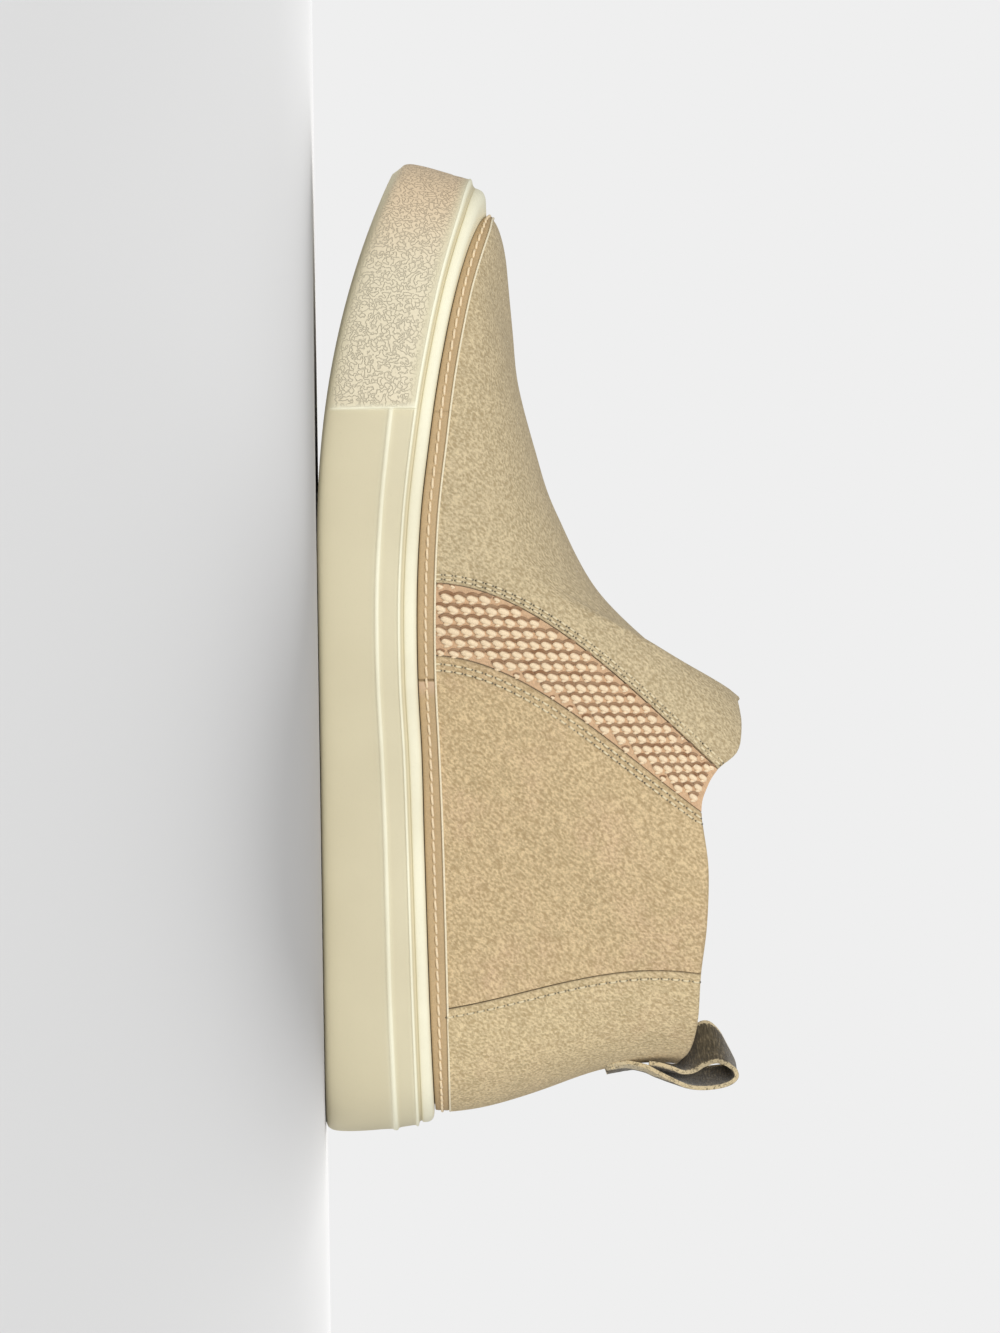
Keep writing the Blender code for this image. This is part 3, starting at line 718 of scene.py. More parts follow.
def loop_tree():
    """Tree that sets a knitted loop at each point of the elastic, with small chance turns."""
    nodes, given, result = tree_with_inputs("loops_on_elastic", (
        ("Loop", "Object", None), ("Spread of turn", "Float", 0.09),
        ("Spread of size", "Float", 0.08), ("Seed", "Int", 7), ("Finish", "Material", None)))
    points = nodes.add("GeometryNodeMeshToPoints", {"Mesh": given.outputs["Geometry"]})
    turn = facing_rotation(nodes, nodes.vector("along"), nodes.vector("facing"))
    down = nodes.math("MULTIPLY", given.outputs["Spread of turn"], -1.0)
    chance = nodes.add("FunctionNodeRandomValue",
                       {2: down, 3: given.outputs["Spread of turn"],
                        "Seed": given.outputs["Seed"]}, data_type="FLOAT")
    spin = nodes.add("ShaderNodeCombineXYZ", {"Z": chance.outputs[1]})
    turned = nodes.add("FunctionNodeRotateRotation", {"Rotation": turn, "Rotate By": spin},
                       rotation_space="LOCAL")
    low = nodes.math("SUBTRACT", 1.0, given.outputs["Spread of size"])
    high = nodes.math("ADD", 1.0, given.outputs["Spread of size"])
    next_seed = nodes.math("ADD", given.outputs["Seed"], 1.0)
    growth = nodes.add("FunctionNodeRandomValue", {2: low, 3: high, "Seed": next_seed},
                       data_type="FLOAT")
    scale = nodes.add("ShaderNodeVectorMath",
                      {0: nodes.vector("size"), "Scale": growth.outputs[1]}, operation="SCALE")
    loop = nodes.add("GeometryNodeObjectInfo", {"Object": given.outputs["Loop"]})
    placed = nodes.add("GeometryNodeInstanceOnPoints",
                       {"Points": points, "Instance": loop.outputs["Geometry"],
                        "Rotation": turned, "Scale": scale})
    return end_tree(nodes, given, result, placed)


def bar_tree():
    """Tree that sets a bar at each point, to cut the grooves of the tread."""
    nodes, given, result = tree_with_inputs("bars_of_tread", (
        ("Width", "Float", GROOVE_WIDTH), ("Depth", "Float", GROOVE_DEPTH)))
    points = nodes.add("GeometryNodeMeshToPoints", {"Mesh": given.outputs["Geometry"]})
    turn = nodes.add("FunctionNodeAlignRotationToVector", {"Vector": nodes.vector("along")},
                     axis="X")
    height = nodes.math("MULTIPLY", given.outputs["Depth"], 2.0)
    section = nodes.add("ShaderNodeCombineXYZ",
                        {"X": given.outputs["Width"], "Y": 1.0, "Z": height})
    bar = nodes.add("GeometryNodeMeshCube", {"Size": section})
    placed = nodes.add("GeometryNodeInstanceOnPoints",
                       {"Points": points, "Instance": bar.outputs["Mesh"], "Rotation": turn,
                        "Scale": nodes.vector("size")})
    real = nodes.add("GeometryNodeRealizeInstances", {"Geometry": placed})
    nodes.feed(result.inputs["Geometry"], real)
    return nodes.tree


def point_mesh(name, points, edges=(), **vectors):
    """Mesh of loose points or chains, with vectors kept at its points."""
    mesh = bpy.data.meshes.new(name)
    mesh.from_pydata(np.asarray(points).tolist(), [tuple(map(int, edge)) for edge in edges], [])
    for label, values in vectors.items():
        kept = mesh.attributes.new(label, "FLOAT_VECTOR", "POINT")
        kept.data.foreach_set("vector", np.asarray(values, np.float32).ravel())
    return mesh


def chain_mesh(name, chains):
    """Mesh of seams, each a row of points with the directions that they face."""
    points, facing, edges, count = [], [], [], 0
    for line, outward, is_closed in chains:
        number = np.arange(count, count + len(line))
        edges.append(np.stack((number[:-1], number[1:]), 1))
        if is_closed:
            edges.append(np.array(((number[-1], number[0]),)))
        points.append(line)
        facing.append(outward)
        count += len(line)
    return point_mesh(name, np.concatenate(points), np.concatenate(edges),
                      facing=np.concatenate(facing))


def tube_shape(centre, radii, around=6, rise=1.0):
    """Closed tube along points in the plane of X and Z, with a radius at each."""
    along = unit(np.gradient(centre, axis=0))
    up = np.stack((-along[:, 2], np.zeros(len(along)), along[:, 0]), 1)
    turn = np.arange(around) / around * 2 * math.pi
    ring = (np.cos(turn)[None, :, None] * np.array((0, 1, 0))
            + np.sin(turn)[None, :, None] * up[:, None] * rise)
    verts = (centre[:, None] + ring * radii[:, None, None]).reshape(-1, 3)
    numbers = grid_numbers(len(centre), around)
    numbers = np.concatenate((numbers, numbers[:, :1]), 1)
    faces = [*grid_faces(numbers), numbers[0, :-1][::-1], numbers[-1, :-1]]
    return verts, faces


def shape_object(name, parts):
    """Hidden object that a tree sets many times, made from tubes and their marks of painted shade.
    """
    verts, faces, shades, count = [], [], [], 0
    for part_verts, part_faces, shade in parts:
        verts.append(part_verts)
        faces += [[int(corner) + count for corner in face] for face in part_faces]
        shades.append(np.broadcast_to(shade, len(part_verts)))
        count += len(part_verts)
    mesh = bpy.data.meshes.new(name)
    mesh.from_pydata(np.concatenate(verts).tolist(), [], faces)
    mark = mesh.attributes.new("shade", "FLOAT", "POINT")
    mark.data.foreach_set("value", np.concatenate(shades).astype(np.float32))
    tidy = bmesh.new()
    tidy.from_mesh(mesh)
    bmesh.ops.recalc_face_normals(tidy, faces=tidy.faces)
    tidy.to_mesh(mesh)
    tidy.free()
    mesh.shade_smooth()
    return bpy.data.objects.new(name, mesh)


# Finishes

def tint(red, green, blue):
    """Linear colour from the values that a screen shows, out of 255."""
    shares = (value / 255 for value in (red, green, blue))
    return tuple(share / 12.92 if share <= 0.04045 else ((share + 0.055) / 1.055) ** 2.4
                 for share in shares)


def opaque(colour):
    return (*colour, 1.0)


def shaded(colour, factor):
    return tuple(value * factor for value in colour)


class Finish(Nodes):
    """Material of the shoe, with short ways to add its textures."""

    def __init__(self, name, roughness, sheen=0.0, specular=0.5):
        self.material = bpy.data.materials.new(name)
        self.material.use_nodes = True
        super().__init__(self.material.node_tree)
        self.shader = self.tree.nodes["Principled BSDF"]
        self.shader.inputs["Roughness"].default_value = roughness
        self.shader.inputs["Sheen Weight"].default_value = sheen
        self.shader.inputs["Sheen Roughness"].default_value = 0.5
        self.shader.inputs["Specular IOR Level"].default_value = specular
        self.place = self.add("ShaderNodeTexCoord").outputs["Object"]

    def noise(self, size, detail=2.0, rough=0.5, stretch=(1, 1, 1), turn=(0, 0, 0), place=None):
        """Noise with marks of a size in millimetres, stretched along turned axes."""
        scale = tuple(1 / (size * MM * part) for part in stretch)
        turned = self.add("ShaderNodeMapping",
                          {"Vector": place or self.place,
                           "Rotation": tuple(math.radians(angle) for angle in turn)},
                          vector_type="TEXTURE")
        sized = self.add("ShaderNodeVectorMath", {0: turned, 1: scale}, operation="MULTIPLY")
        return self.add("ShaderNodeTexNoise", {"Vector": sized, "Scale": 1.0, "Detail": detail,
                                               "Roughness": rough}).outputs[0]

    def mark(self, name):
        return self.add("ShaderNodeAttribute", attribute_name=name).outputs["Fac"]

    def span(self, value, low, high, to_low=0.0, to_high=1.0):
        """Value moved from one span to another, with soft ends."""
        return self.add("ShaderNodeMapRange",
                        {"Value": value, "From Min": low, "From Max": high, "To Min": to_low,
                         "To Max": to_high}, interpolation_type="SMOOTHSTEP").outputs[0]

    def mix(self, share, first, second, how="MIX"):
        inputs = {"Fac": share, "Color1": first, "Color2": second}
        inputs = {key: opaque(value) if isinstance(value, tuple) else value
                  for key, value in inputs.items()}
        return self.add("ShaderNodeMixRGB", inputs, blend_type=how).outputs[0]

    def ramp(self, value, stops):
        """Colours at places along a value."""
        node = self.add("ShaderNodeValToRGB", {0: value})
        while len(node.color_ramp.elements) < len(stops):
            node.color_ramp.elements.new(0.5)
        for element, (place, colour) in zip(node.color_ramp.elements, stops):
            element.position = place
            element.color = opaque(colour)
        return node.outputs[0]

    def bump(self, height, depth, strength=1.0, below=None):
        """Relief whose full range is a depth in millimetres."""
        inputs = {"Height": height, "Distance": depth * MM, "Strength": strength}
        if below is not None:
            inputs["Normal"] = below
        return self.add("ShaderNodeBump", inputs).outputs[0]

    def done(self, colour, normal=None):
        self.feed(self.shader.inputs["Base Color"], colour)
        if normal is not None:
            self.feed(self.shader.inputs["Normal"], normal)
        return self.material


# Share of the suede's red, green and blue left in its pits
SUEDE_PIT = (0.64, 0.57, 0.47)


def suede_finish(name, colour, patch, patch_share, painted_shade_share):
    """Brushed suede: worm-like grain, slow mottling, and painted shade at the seams, stitch rows
    and collar by the mark edge.
    """
    finish = Finish(name, 0.95, sheen=0.08, specular=0.12)
    pit = tuple(value * part for value, part in zip(colour, SUEDE_PIT))
    slow = finish.noise(26, 2.0)
    middling = finish.noise(7, 3.0, 0.6)
    grain = finish.noise(0.66, 2.0, 0.5, stretch=(1, 1, 1.6), turn=(0, 40, 0))
    fine = finish.noise(0.38, 2.0, 0.6)
    brushed = finish.noise(3.2, 3.0, 0.6, stretch=(1, 1, 2.0), turn=(0, 38, 0))
    base = finish.mix(finish.span(slow, 0.42, 0.68, 0.0, patch_share), colour, patch)
    base = finish.mix(finish.span(middling, 0.3, 0.7), shaded(colour, 0.92), base)
    base = finish.mix(finish.span(brushed, 0.35, 0.7, 0.0, 0.35), base, shaded(colour, 1.12))
    base = finish.mix(finish.span(grain, 0.34, 0.52, 0.56, 0.0), base, pit)
    base = finish.mix(finish.span(grain, 0.48, 0.66, 0.0, 0.62), base, shaded(colour, 1.42))
    base = finish.mix(finish.span(fine, 0.35, 0.55, 0.25, 0.0), base, pit)
    # Painted shade by the mark edge: darker at the seams, stitch rows and collar, where shade falls
    base = finish.mix(finish.math("MULTIPLY", finish.mark("edge"), painted_shade_share), base,
                      shaded(colour, 0.42))
    normal = finish.bump(brushed, 0.25, 0.6)
    normal = finish.bump(grain, 0.55, 0.9, normal)
    return finish.done(base, finish.bump(fine, 0.12, 0.6, normal))


def rubber_finish(colours):
    """Moulded rubber: painted light on the ribs and bands, painted shade in the grooves, worms on
    the bumper.
    """
    finish = Finish("moulded_rubber", 0.58, specular=0.35)
    tone = finish.add("ShaderNodeMapRange", {"Value": finish.mark("tone"), "From Min": -1.0,
                                             "From Max": 1.0}).outputs[0]
    # Ramp of painted light and shade: painted shade in the groove, lighter middle and top band,
    # painted highlight on the ribs
    base = finish.ramp(tone, ((0.0, colours.rubber_groove_painted_shade), (0.40, colours.rubber_panel),
                              (0.56, colours.rubber_middle_painted_light), (0.78, colours.rubber_band_painted_light),
                              (1.0, colours.rubber_rib_painted_highlight)))
    slow = finish.noise(30, 3.0)
    panel = colours.rubber_panel
    base = finish.mix(finish.span(slow, 0.35, 0.75, 0.0, 0.30), base, shaded(panel, 0.90))
    speck = finish.noise(0.9, 3.0, 0.7)
    base = finish.mix(finish.span(speck, 0.55, 0.75, 0.0, 0.10), base, shaded(panel, 0.8))
    worms = finish.noise(1.15, 1.0, 0.4)
    channel = finish.math("ABSOLUTE", finish.math("SUBTRACT", worms, 0.5))
    pebble = finish.span(channel, 0.0, 0.075)
    mask = finish.mark("bumper")
    rough_base = finish.mix(pebble, shaded(colours.bumper, 0.74), colours.bumper)
    blush = finish.math("MULTIPLY", finish.mark("tip"), 0.8)
    rough_base = finish.mix(blush, rough_base, colours.bumper_tip, "MULTIPLY")
    base = finish.mix(mask, base, rough_base)
    fine = finish.noise(0.35, 2.0, 0.6)
    normal = finish.bump(fine, 0.03, 0.5)
    normal = finish.bump(finish.math("MULTIPLY", pebble, mask), 0.24, 0.8, normal)
    return finish.done(base, normal)


def strip_finish(colours):
    """Plain leather strip with painted shade along its edges and in its joins by the mark edge,
    paler past its join.
    """
    finish = Finish("strip_leather", 0.68, specular=0.3)
    slow = finish.noise(18, 3.0)
    grain = finish.noise(0.5, 3.0, 0.7)
    base = finish.mix(finish.span(slow, 0.35, 0.7), colours.strip, colours.strip_patch)
    base = finish.mix(finish.span(grain, 0.35, 0.7, 0.35, 0.0), base, shaded(colours.strip, 0.62))
    # Painted shade along the strip's edges and in its joins
    base = finish.mix(finish.mark("edge"), base, shaded(colours.strip, 0.45))
    base = finish.mix(finish.mark("pale"), base, colours.strip_pale)
    return finish.done(base, finish.bump(grain, 0.12, 0.7))


def thread_finish(name, colour, dark=0.0):
    """Waxed thread with a slight twist, with painted shade by the mark shade where it dives into
    its holes.
    """
    finish = Finish(name, 0.7, sheen=0.1, specular=0.3)
    twist = finish.noise(0.35, 1.0, 0.5, stretch=(1.6, 1, 1), turn=(0, 35, 0))
    base = finish.mix(finish.span(twist, 0.35, 0.65, 0.45, 0.0), colour, shaded(colour, 0.72))
    if dark:
        # Painted shade at the ends of the stitches, where they dive into their holes
        base = finish.mix(finish.mark("shade"), base, shaded(colour, dark))
    return finish.done(base, finish.bump(twist, 0.12, 0.8))


def knit_finish(name, colour, dark, dark_share):
    """Yarn of the elastic with fine fibres, with painted shade by the mark shade."""
    finish = Finish(name, 0.85, sheen=0.2, specular=0.2)
    fibre = finish.noise(0.3, 2.0, 0.6, stretch=(1, 1, 3), turn=(0, 60, 0))
    slow = finish.noise(4.0, 2.0)
    # Painted shade on the arch strands by the mark shade
    base = finish.mix(finish.mark("shade"), colour, dark)
    base = finish.mix(finish.span(fibre, 0.35, 0.65, dark_share, 0.0), base, dark)
    base = finish.mix(finish.span(slow, 0.35, 0.7, 0.2, 0.0), base, shaded(colour, 0.82))
    return finish.done(base, finish.bump(fibre, 0.14, 0.8))


def lining_finish(name, colour):
    """Soft lining leather with small pores."""
    finish = Finish(name, 0.8, sheen=0.1, specular=0.25)
    slow = finish.noise(20, 3.0)
    pores = finish.add("ShaderNodeTexVoronoi", {"Vector": finish.place, "Scale": 900.0}).outputs[0]
    base = finish.mix(finish.span(slow, 0.35, 0.7), shaded(colour, 0.9), colour)
    base = finish.mix(finish.span(pores, 0.1, 0.3, 0.3, 0.0), base, shaded(colour, 0.6))
    return finish.done(base, finish.bump(pores, 0.1, 0.6))


def webbing_finish(name, colour, edge_colour):
    """Woven tape: fine ribs across it by its own marks, and pale fuzzy raw edges."""
    finish = Finish(name, 0.95, sheen=0.3, specular=0.15)
    flat = finish.add("ShaderNodeCombineXYZ", {"X": finish.mark("along"),
                                               "Y": finish.mark("across")}).outputs[0]
    ribs = finish.noise(0.5, 2.0, 0.6, stretch=(1, 5, 1), place=flat)
    fuzz = finish.noise(0.7, 3.0, 0.7)
    patch = finish.noise(2.4, 3.0, 0.6)
    base = finish.mix(finish.span(patch, 0.35, 0.7), shaded(colour, 0.7), shaded(colour, 1.3))
    base = finish.mix(finish.span(ribs, 0.38, 0.6, 0.7, 0.0), base, shaded(colour, 0.4))
    base = finish.mix(finish.span(ribs, 0.55, 0.72, 0.0, 0.6), base, shaded(colour, 2.2))
    pale = finish.mix(finish.span(fuzz, 0.36, 0.5), shaded(edge_colour, 0.35), edge_colour)
    ragged = finish.math("ADD", finish.mark("raw"), finish.span(fuzz, 0.3, 0.7, -0.3, 0.3))
    base = finish.mix(finish.span(ragged, 0.40, 0.62), base, pale)
    normal = finish.bump(ribs, 0.3, 0.8)
    return finish.done(base, finish.bump(fuzz, 0.35, 0.8, normal))


def paper_finish(colour):
    """Pale paper of the floor."""
    finish = Finish("pale_paper", 0.95, specular=0.1)
    tooth = finish.noise(1.5, 3.0)
    return finish.done(finish.mix(finish.span(tooth, 0.3, 0.7, 0.02, 0.0), colour,
                                  shaded(colour, 0.9)))


# Sizes and colours that a user would change

def length_property(name, description, millimetres, least):
    return FloatProperty(name=name, description=description, default=millimetres * MM,
                         min=least * MM, unit="LENGTH", subtype="DISTANCE")


class BootieSizes(bpy.types.PropertyGroup):
    """Sizes of the trim."""
    welt_pitch: length_property("Strip stitch pitch", "Distance of the strip's stitches", 3.27, 1)
    seam_pitch: length_property("Seam stitch pitch", "Distance of the suede's stitches", 2.85, 1)
    thread: length_property("Thread thickness", "Thickness of the sewing thread", 0.62, 0.2)
    knit_row: length_property("Knit row pitch", "Distance of the elastic's rows", 3.07, 1)
    knit_loop: length_property("Knit loop pitch", "Distance of the loops in a row", 3.6, 1)
    grid: length_property("Suede grid", "Widest distance of a suede panel's lines", 1.0, 0.4)


def colour_property(name, description, *levels_of_colour):
    return FloatVectorProperty(name=name, description=description, subtype="COLOR", size=3,
                               min=0, max=1, default=tint(*levels_of_colour))


class BootieColours(bpy.types.PropertyGroup):
    """Colours of the finishes."""
    vamp: colour_property("Vamp suede", "Suede of the front", 202, 185, 150)
    vamp_patch: colour_property("Vamp patches", "Slow change of the vamp's suede", 210, 192, 158)
    quarter: colour_property("Side suede", "Suede of the side panels", 209, 186, 146)
    quarter_patch: colour_property("Side patches", "Warm patches of the sides", 216, 186, 152)
    counter: colour_property("Heel suede", "Suede of the heel", 214, 194, 154)
    rubber_panel: colour_property("Sole panel", "Lower panel of the sole", 216, 205, 172)
    # The sole's middle, top band, ribs and groove are painted light and shade: lighter where the
    # rubber leans up, painted highlight on the ribs, painted shade in the groove
    rubber_middle_painted_light: colour_property("Sole middle", "Band between the ribs", 221, 212, 180)
    rubber_band_painted_light: colour_property("Sole top band", "Convex band at the top", 246, 240, 212)
    rubber_rib_painted_highlight: colour_property("Sole ribs", "Raised ribs of the sole", 255, 252, 226)
    rubber_groove_painted_shade: colour_property("Sole groove", "Bottom of the groove", 160, 147, 114)
    bumper: colour_property("Bumper", "Rough rubber round the toe", 236, 225, 196)
    bumper_tip: colour_property("Bumper tip", "Blush at the toe's tip", 250, 232, 220)
    strip: colour_property("Strip", "Leather strip over the sole", 204, 177, 136)
    strip_patch: colour_property("Strip patches", "Slow change of the strip", 196, 170, 130)
    strip_pale: colour_property("Strip join", "Paler leather at the join", 214, 186, 158)
    strip_cord: colour_property("Strip cord", "Pale cord on top of the strip", 250, 238, 208)
    welt_thread: colour_property("Strip thread", "Thread of the leather strip", 250, 228, 192)
    seam_thread: colour_property("Seam thread", "Thread of the suede seams", 240, 224, 186)
    knit: colour_property("Elastic loops", "Yarn of the elastic's loops", 255, 232, 196)
    # The elastic's arches are painted shade: a dark strand for the shade between the rows of loops
    knit_arch_painted_shade: colour_property("Elastic arches", "Dark yarn over each loop", 148, 110, 78)
    knit_base: colour_property("Elastic base", "Ground of the elastic", 222, 186, 148)
    lining: colour_property("Lining", "Lining leather", 205, 184, 150)
    footbed: colour_property("Footbed", "Top of the footbed", 198, 178, 144)
    webbing: colour_property("Webbing", "Woven tape of the pull loop", 104, 93, 72)
    webbing_edge: colour_property("Webbing edge", "Raw edge of the tape", 214, 196, 158)
    paper: colour_property("Floor", "Paper of the floor", 194, 194, 194)


# Sole

# Rows of the tread, as shares of its half width
TREAD_SHARES = (0.0, 0.25, 0.5, 0.7, 0.85, 0.95, 1.0)

# Levels of the wall that have the ridge, the bumper's roughness, and the rib that ends there
RIDGE_LEVELS = (0.1, 1.94)
ROUGH_LEVELS = (0.1, 1.9)
RIB_LEVELS = (0.5, 1.2)

# Raised line at the end of the bumper, which also gets a painted highlight, and where the blush of
# the toe starts and how it fades
RIDGE_WIDTH = 0.45 * MM
RIDGE_HEIGHT = 0.45 * MM
BLUSH_START = -0.100
BLUSH_FADE = 0.030

# Extra lines by the bumper's end, in rib numbers from it
BUMPER_LINES = 0.018 * np.array((-0.9, -0.6, -0.45, -0.3, -0.15, 0.0, 0.15, 0.3, 0.5, 0.9))


def strip_span(u, side):
    """Places of the strip's lower and upper edges."""
    return v_of_height(u, side, rim_height(u, side) + GAP), np.full_like(u, -STRIP_TOP)


def strip_face(u, v):
    """Offset of the strip's outer face, which flares towards the toe."""
    flare = toe_at(u) * blend(0.4, 1.0, np.minimum(1.0, -2 * v))
    return blend(STRIP_PROUD, TOE_STRIP_PROUD, flare)


def sole_sections(u, side):
    """Sections of the sole, as points with their painted light and shade, bumper and toe tip marks.
    """
    turn = rib_turn(u)
    x = outline_point(turn, side)[:, 0]
    heights = [underside(x), *np.moveaxis(levels(x)[:, :3], -1, 0)]
    toe = toe_share(x)
    end = (BUMPER_END - 0.5) * SOLE_LENGTH
    bumper_part = smooth_step((end - x) / (0.4 * MM))
    ridge = bell(x - end + 0.35 * MM, RIDGE_WIDTH)
    tip = smooth_step((BLUSH_START - x) / BLUSH_FADE)
    edges = [inset_point(turn, each, TREAD_INSET) for each in (side, -side)]
    zero = np.zeros_like(x)

    def row(points, tone=zero, bumper=zero):
        return np.concatenate((points, np.stack((tone, bumper, tip), -1)), -1)

    arch = (x / SOLE_LENGTH + 0.5 - ARCH_START) / (ARCH_END - ARCH_START)
    arch = np.where((arch > 0) & (arch < 1), ARCH_RISE * np.sin(math.pi * arch) ** 2, 0.0)
    under = []
    for share in TREAD_SHARES:
        flat = blend((edges[0] + edges[1]) / 2, edges[0], share)
        lift = underside(flat[:, 0]) + arch * min(1.0, (1 - share) / ARCH_EDGE)
        under.append(row(np.concatenate((flat, lift[:, None]), -1)))
    wall = [under[-1]]
    for level, plain, bumper, toe_part, tone in WALL:
        share = blend(blend(plain, bumper, bumper_part), toe_part, toe)
        on_panel = RIDGE_LEVELS[0] < level < RIDGE_LEVELS[1]
        inset = share * blend(RIM_INSET, TOE_RIM_INSET, toe) - ridge * RIDGE_HEIGHT * on_panel
        low = min(int(level), 2)
        height = blend(heights[low], heights[low + 1], level - low)
        ends_here = RIB_LEVELS[0] < level < RIB_LEVELS[1]
        # The bumper's raised line gets the ribs' painted highlight
        wall_painted_lighting = np.maximum(tone * (1 - bumper_part * ends_here), ridge * on_panel)
        rough = bumper_part * (1 - ridge) * (ROUGH_LEVELS[0] < level < ROUGH_LEVELS[1])
        wall.append(row(np.concatenate((inset_point(turn, side, inset), height[:, None]), -1),
                        wall_painted_lighting, rough))
    rim_v = v_of_height(u, side, heights[3])
    # The top of the rim inside the cup gets half of the ribs' painted highlight
    wall.append(row(layer(u, rim_v, side, zero - SUEDE_THICKNESS), zero + 0.5))
    rounded = corner_cut(np.array(wall), 2)
    floor = [row(floor_edge(u, each)) for each in (side, -side)]
    inner = [blend(wall[-1], floor[0], 0.5), floor[0],
             blend(floor[0], (floor[0] + floor[1]) / 2, 0.5), (floor[0] + floor[1]) / 2]
    chain = np.concatenate((np.array(under[:-1]), rounded, np.array(inner)))
    return np.moveaxis(chain, 0, 1)


def floor_edge(u, side):
    """Foot of the cup's inner wall."""
    top, floor = np.moveaxis(levels_at(u, side)[:, 3:], -1, 0)
    v = -1 - GAP / (top - floor - GAP)
    return layer(u, v, side, np.full_like(u, -SUEDE_THICKNESS))


def tread_bars():
    """Cutter for the grooves of the tread, set square to the underside."""
    starts = [FOREFOOT_GROOVE_START] * FOREFOOT_GROOVES + [HEEL_GROOVE_START] * HEEL_GROOVES
    numbers = [*range(FOREFOOT_GROOVES), *range(HEEL_GROOVES)]
    x = (np.array(starts) - 0.5) * SOLE_LENGTH + np.array(numbers) * GROOVE_PITCH
    turn = turn_of_share(x / SOLE_LENGTH + 0.5)
    ends = [outline_point(turn, side)[:, 1] - side * GROOVE_MARGIN for side in BOTH]
    points = np.stack((x, (ends[0] + ends[1]) / 2, underside(x)), -1)
    rise = underside(x + GROOVE_WIDTH) - underside(x - GROOVE_WIDTH)
    along = np.stack((np.full_like(x, 2 * GROOVE_WIDTH), np.zeros_like(x), rise), -1)
    size = np.stack((np.ones_like(x), ends[1] - ends[0], np.ones_like(x)), -1)
    source = point_mesh("tread_points", points, along=along, size=size)
    return apply_tree(bar_tree(), "tread_bars", source,
                      {"Width": GROOVE_WIDTH, "Depth": GROOVE_DEPTH})


def make_sole(colours):
    """Moulded rubber cup with ribs, a rough bumper and tread grooves."""
    evenly = graded_ribs(0, BACK_SEAM, FINE_STEP, 1.5 * MM)
    lines = np.unique(np.concatenate((evenly, rib_of_share(BUMPER_END) + BUMPER_LINES)))
    rows, faces = both_sides(lambda side: sole_sections(lines, side))
    tone, bumper, tip = rows[:, 3:].T
    mesh = make_mesh("sole", rows[:, :3], faces, {"tone": tone, "bumper": bumper, "tip": tip},
                     FIRM_ANGLE)
    cutter = new_object("tread_cutter", tread_bars())
    body = new_object("sole_uncut", mesh)
    cut = body.modifiers.new("tread", "BOOLEAN")
    cut.operation, cut.solver, cut.object = "DIFFERENCE", "EXACT", cutter
    graph = bpy.context.evaluated_depsgraph_get()
    result = bpy.data.meshes.new_from_object(body.evaluated_get(graph))
    body.modifiers.clear()
    for thing in (body, cutter):
        bpy.data.objects.remove(thing)
    result.name = "sole"
    result.set_sharp_from_angle(angle=math.radians(FIRM_ANGLE))
    make_object("sole", result, rubber_finish(colours), "sole_rubber", "cupsole")


# Places along the outer side where the leather strip is joined, and how deep each join is, which
# also sets how dark its painted shade is
STRIP_JOINS = ((-0.0646, 0.35), (-0.0474, 0.18), (0.0093, 0.85))
JOIN_DEPTH = 0.6 * MM
JOIN_WIDTH = 0.28 * MM
JOIN_SHADE_WIDTH = 0.3 * MM
STRIP_ROUNDING = 0.22 * MM
SEAM_DENT = 0.14 * MM
CORD_RADIUS = 0.29 * MM
CORD_SIDES = 8


def make_strip(colours):
    """Leather strip on the rim of the sole, with a thin cord along its top."""
    joins = [rib_near(x + step * MM, 0) for x, _ in STRIP_JOINS
             for step in (-0.9, -0.5, -0.25, 0, 0.25, 0.5, 0.9)]
    evenly = graded_ribs(0, BACK_SEAM, FINE_STEP, WIDE_STEP)
    lines = np.unique(np.concatenate((evenly, joins)))
    across = np.array((0, 0.05, 0.12, 0.25, 0.4, 0.5, 0.6, 0.75, 0.88, 0.95, 1.0))
    low, high = strip_span(lines, OUTER)
    v = blend(low[:, None], high[:, None], across)

    def outside(u, v, side):
        away = abs(2 * across - 1)
        offset = strip_face(u, v) - STRIP_ROUNDING * away ** 6
        offset = offset - SEAM_DENT * bell(across - 0.5, 0.13)
        if side == OUTER:
            x = skin(u, v, side)[..., 0]
            for place, depth in STRIP_JOINS:
                offset = offset - depth * JOIN_DEPTH * bell(x - place, JOIN_WIDTH)
        return layer(u, v, side, offset)

    def inside(u, v, side):
        return layer(u, v, side, blend(-SUEDE_THICKNESS, -TOE_STRIP_BACK, toe_at(u)))

    def painted_shade_mark(u, v, side, points):
        # Painted shade along the strip's edges, and in its joins on the outer side
        mark = np.broadcast_to(smooth_step((abs(2 * across - 1) - 0.8) / 0.2) * 0.5, u.shape)
        if side == OUTER:
            for place, depth in STRIP_JOINS:
                line = depth * bell(points[..., 0] - place, JOIN_SHADE_WIDTH)
                mark = np.maximum(mark, line)
        return mark

    def pale_mark(u, v, side, points):
        if side == INNER:
            return np.zeros_like(u)
        x = (points[..., 0] - STRIP_JOINS[-1][0]) / MM
        return smooth_step((x - 0.2) / 0.4) * smooth_step((4.2 - x) / 2.6) * 0.8

    mesh = make_shell("welt_strip_leather", BOTH, straight_ribs(lines, len(across)), v, outside,
                      inside, {"edge": painted_shade_mark, "pale": pale_mark}, FIRM_ANGLE)
    make_object("welt_strip_leather", mesh, strip_finish(colours), "welt_leather", "welt_strip")
    make_strip_cord(colours, lines)


def closed_path(lines, path_of):
    """Points all round the shoe, from functions of one side."""
    there, back = path_of(lines, OUTER), path_of(lines[::-1], INNER)
    return [np.concatenate((first[:-1], second[:-1])) for first, second in zip(there, back)]


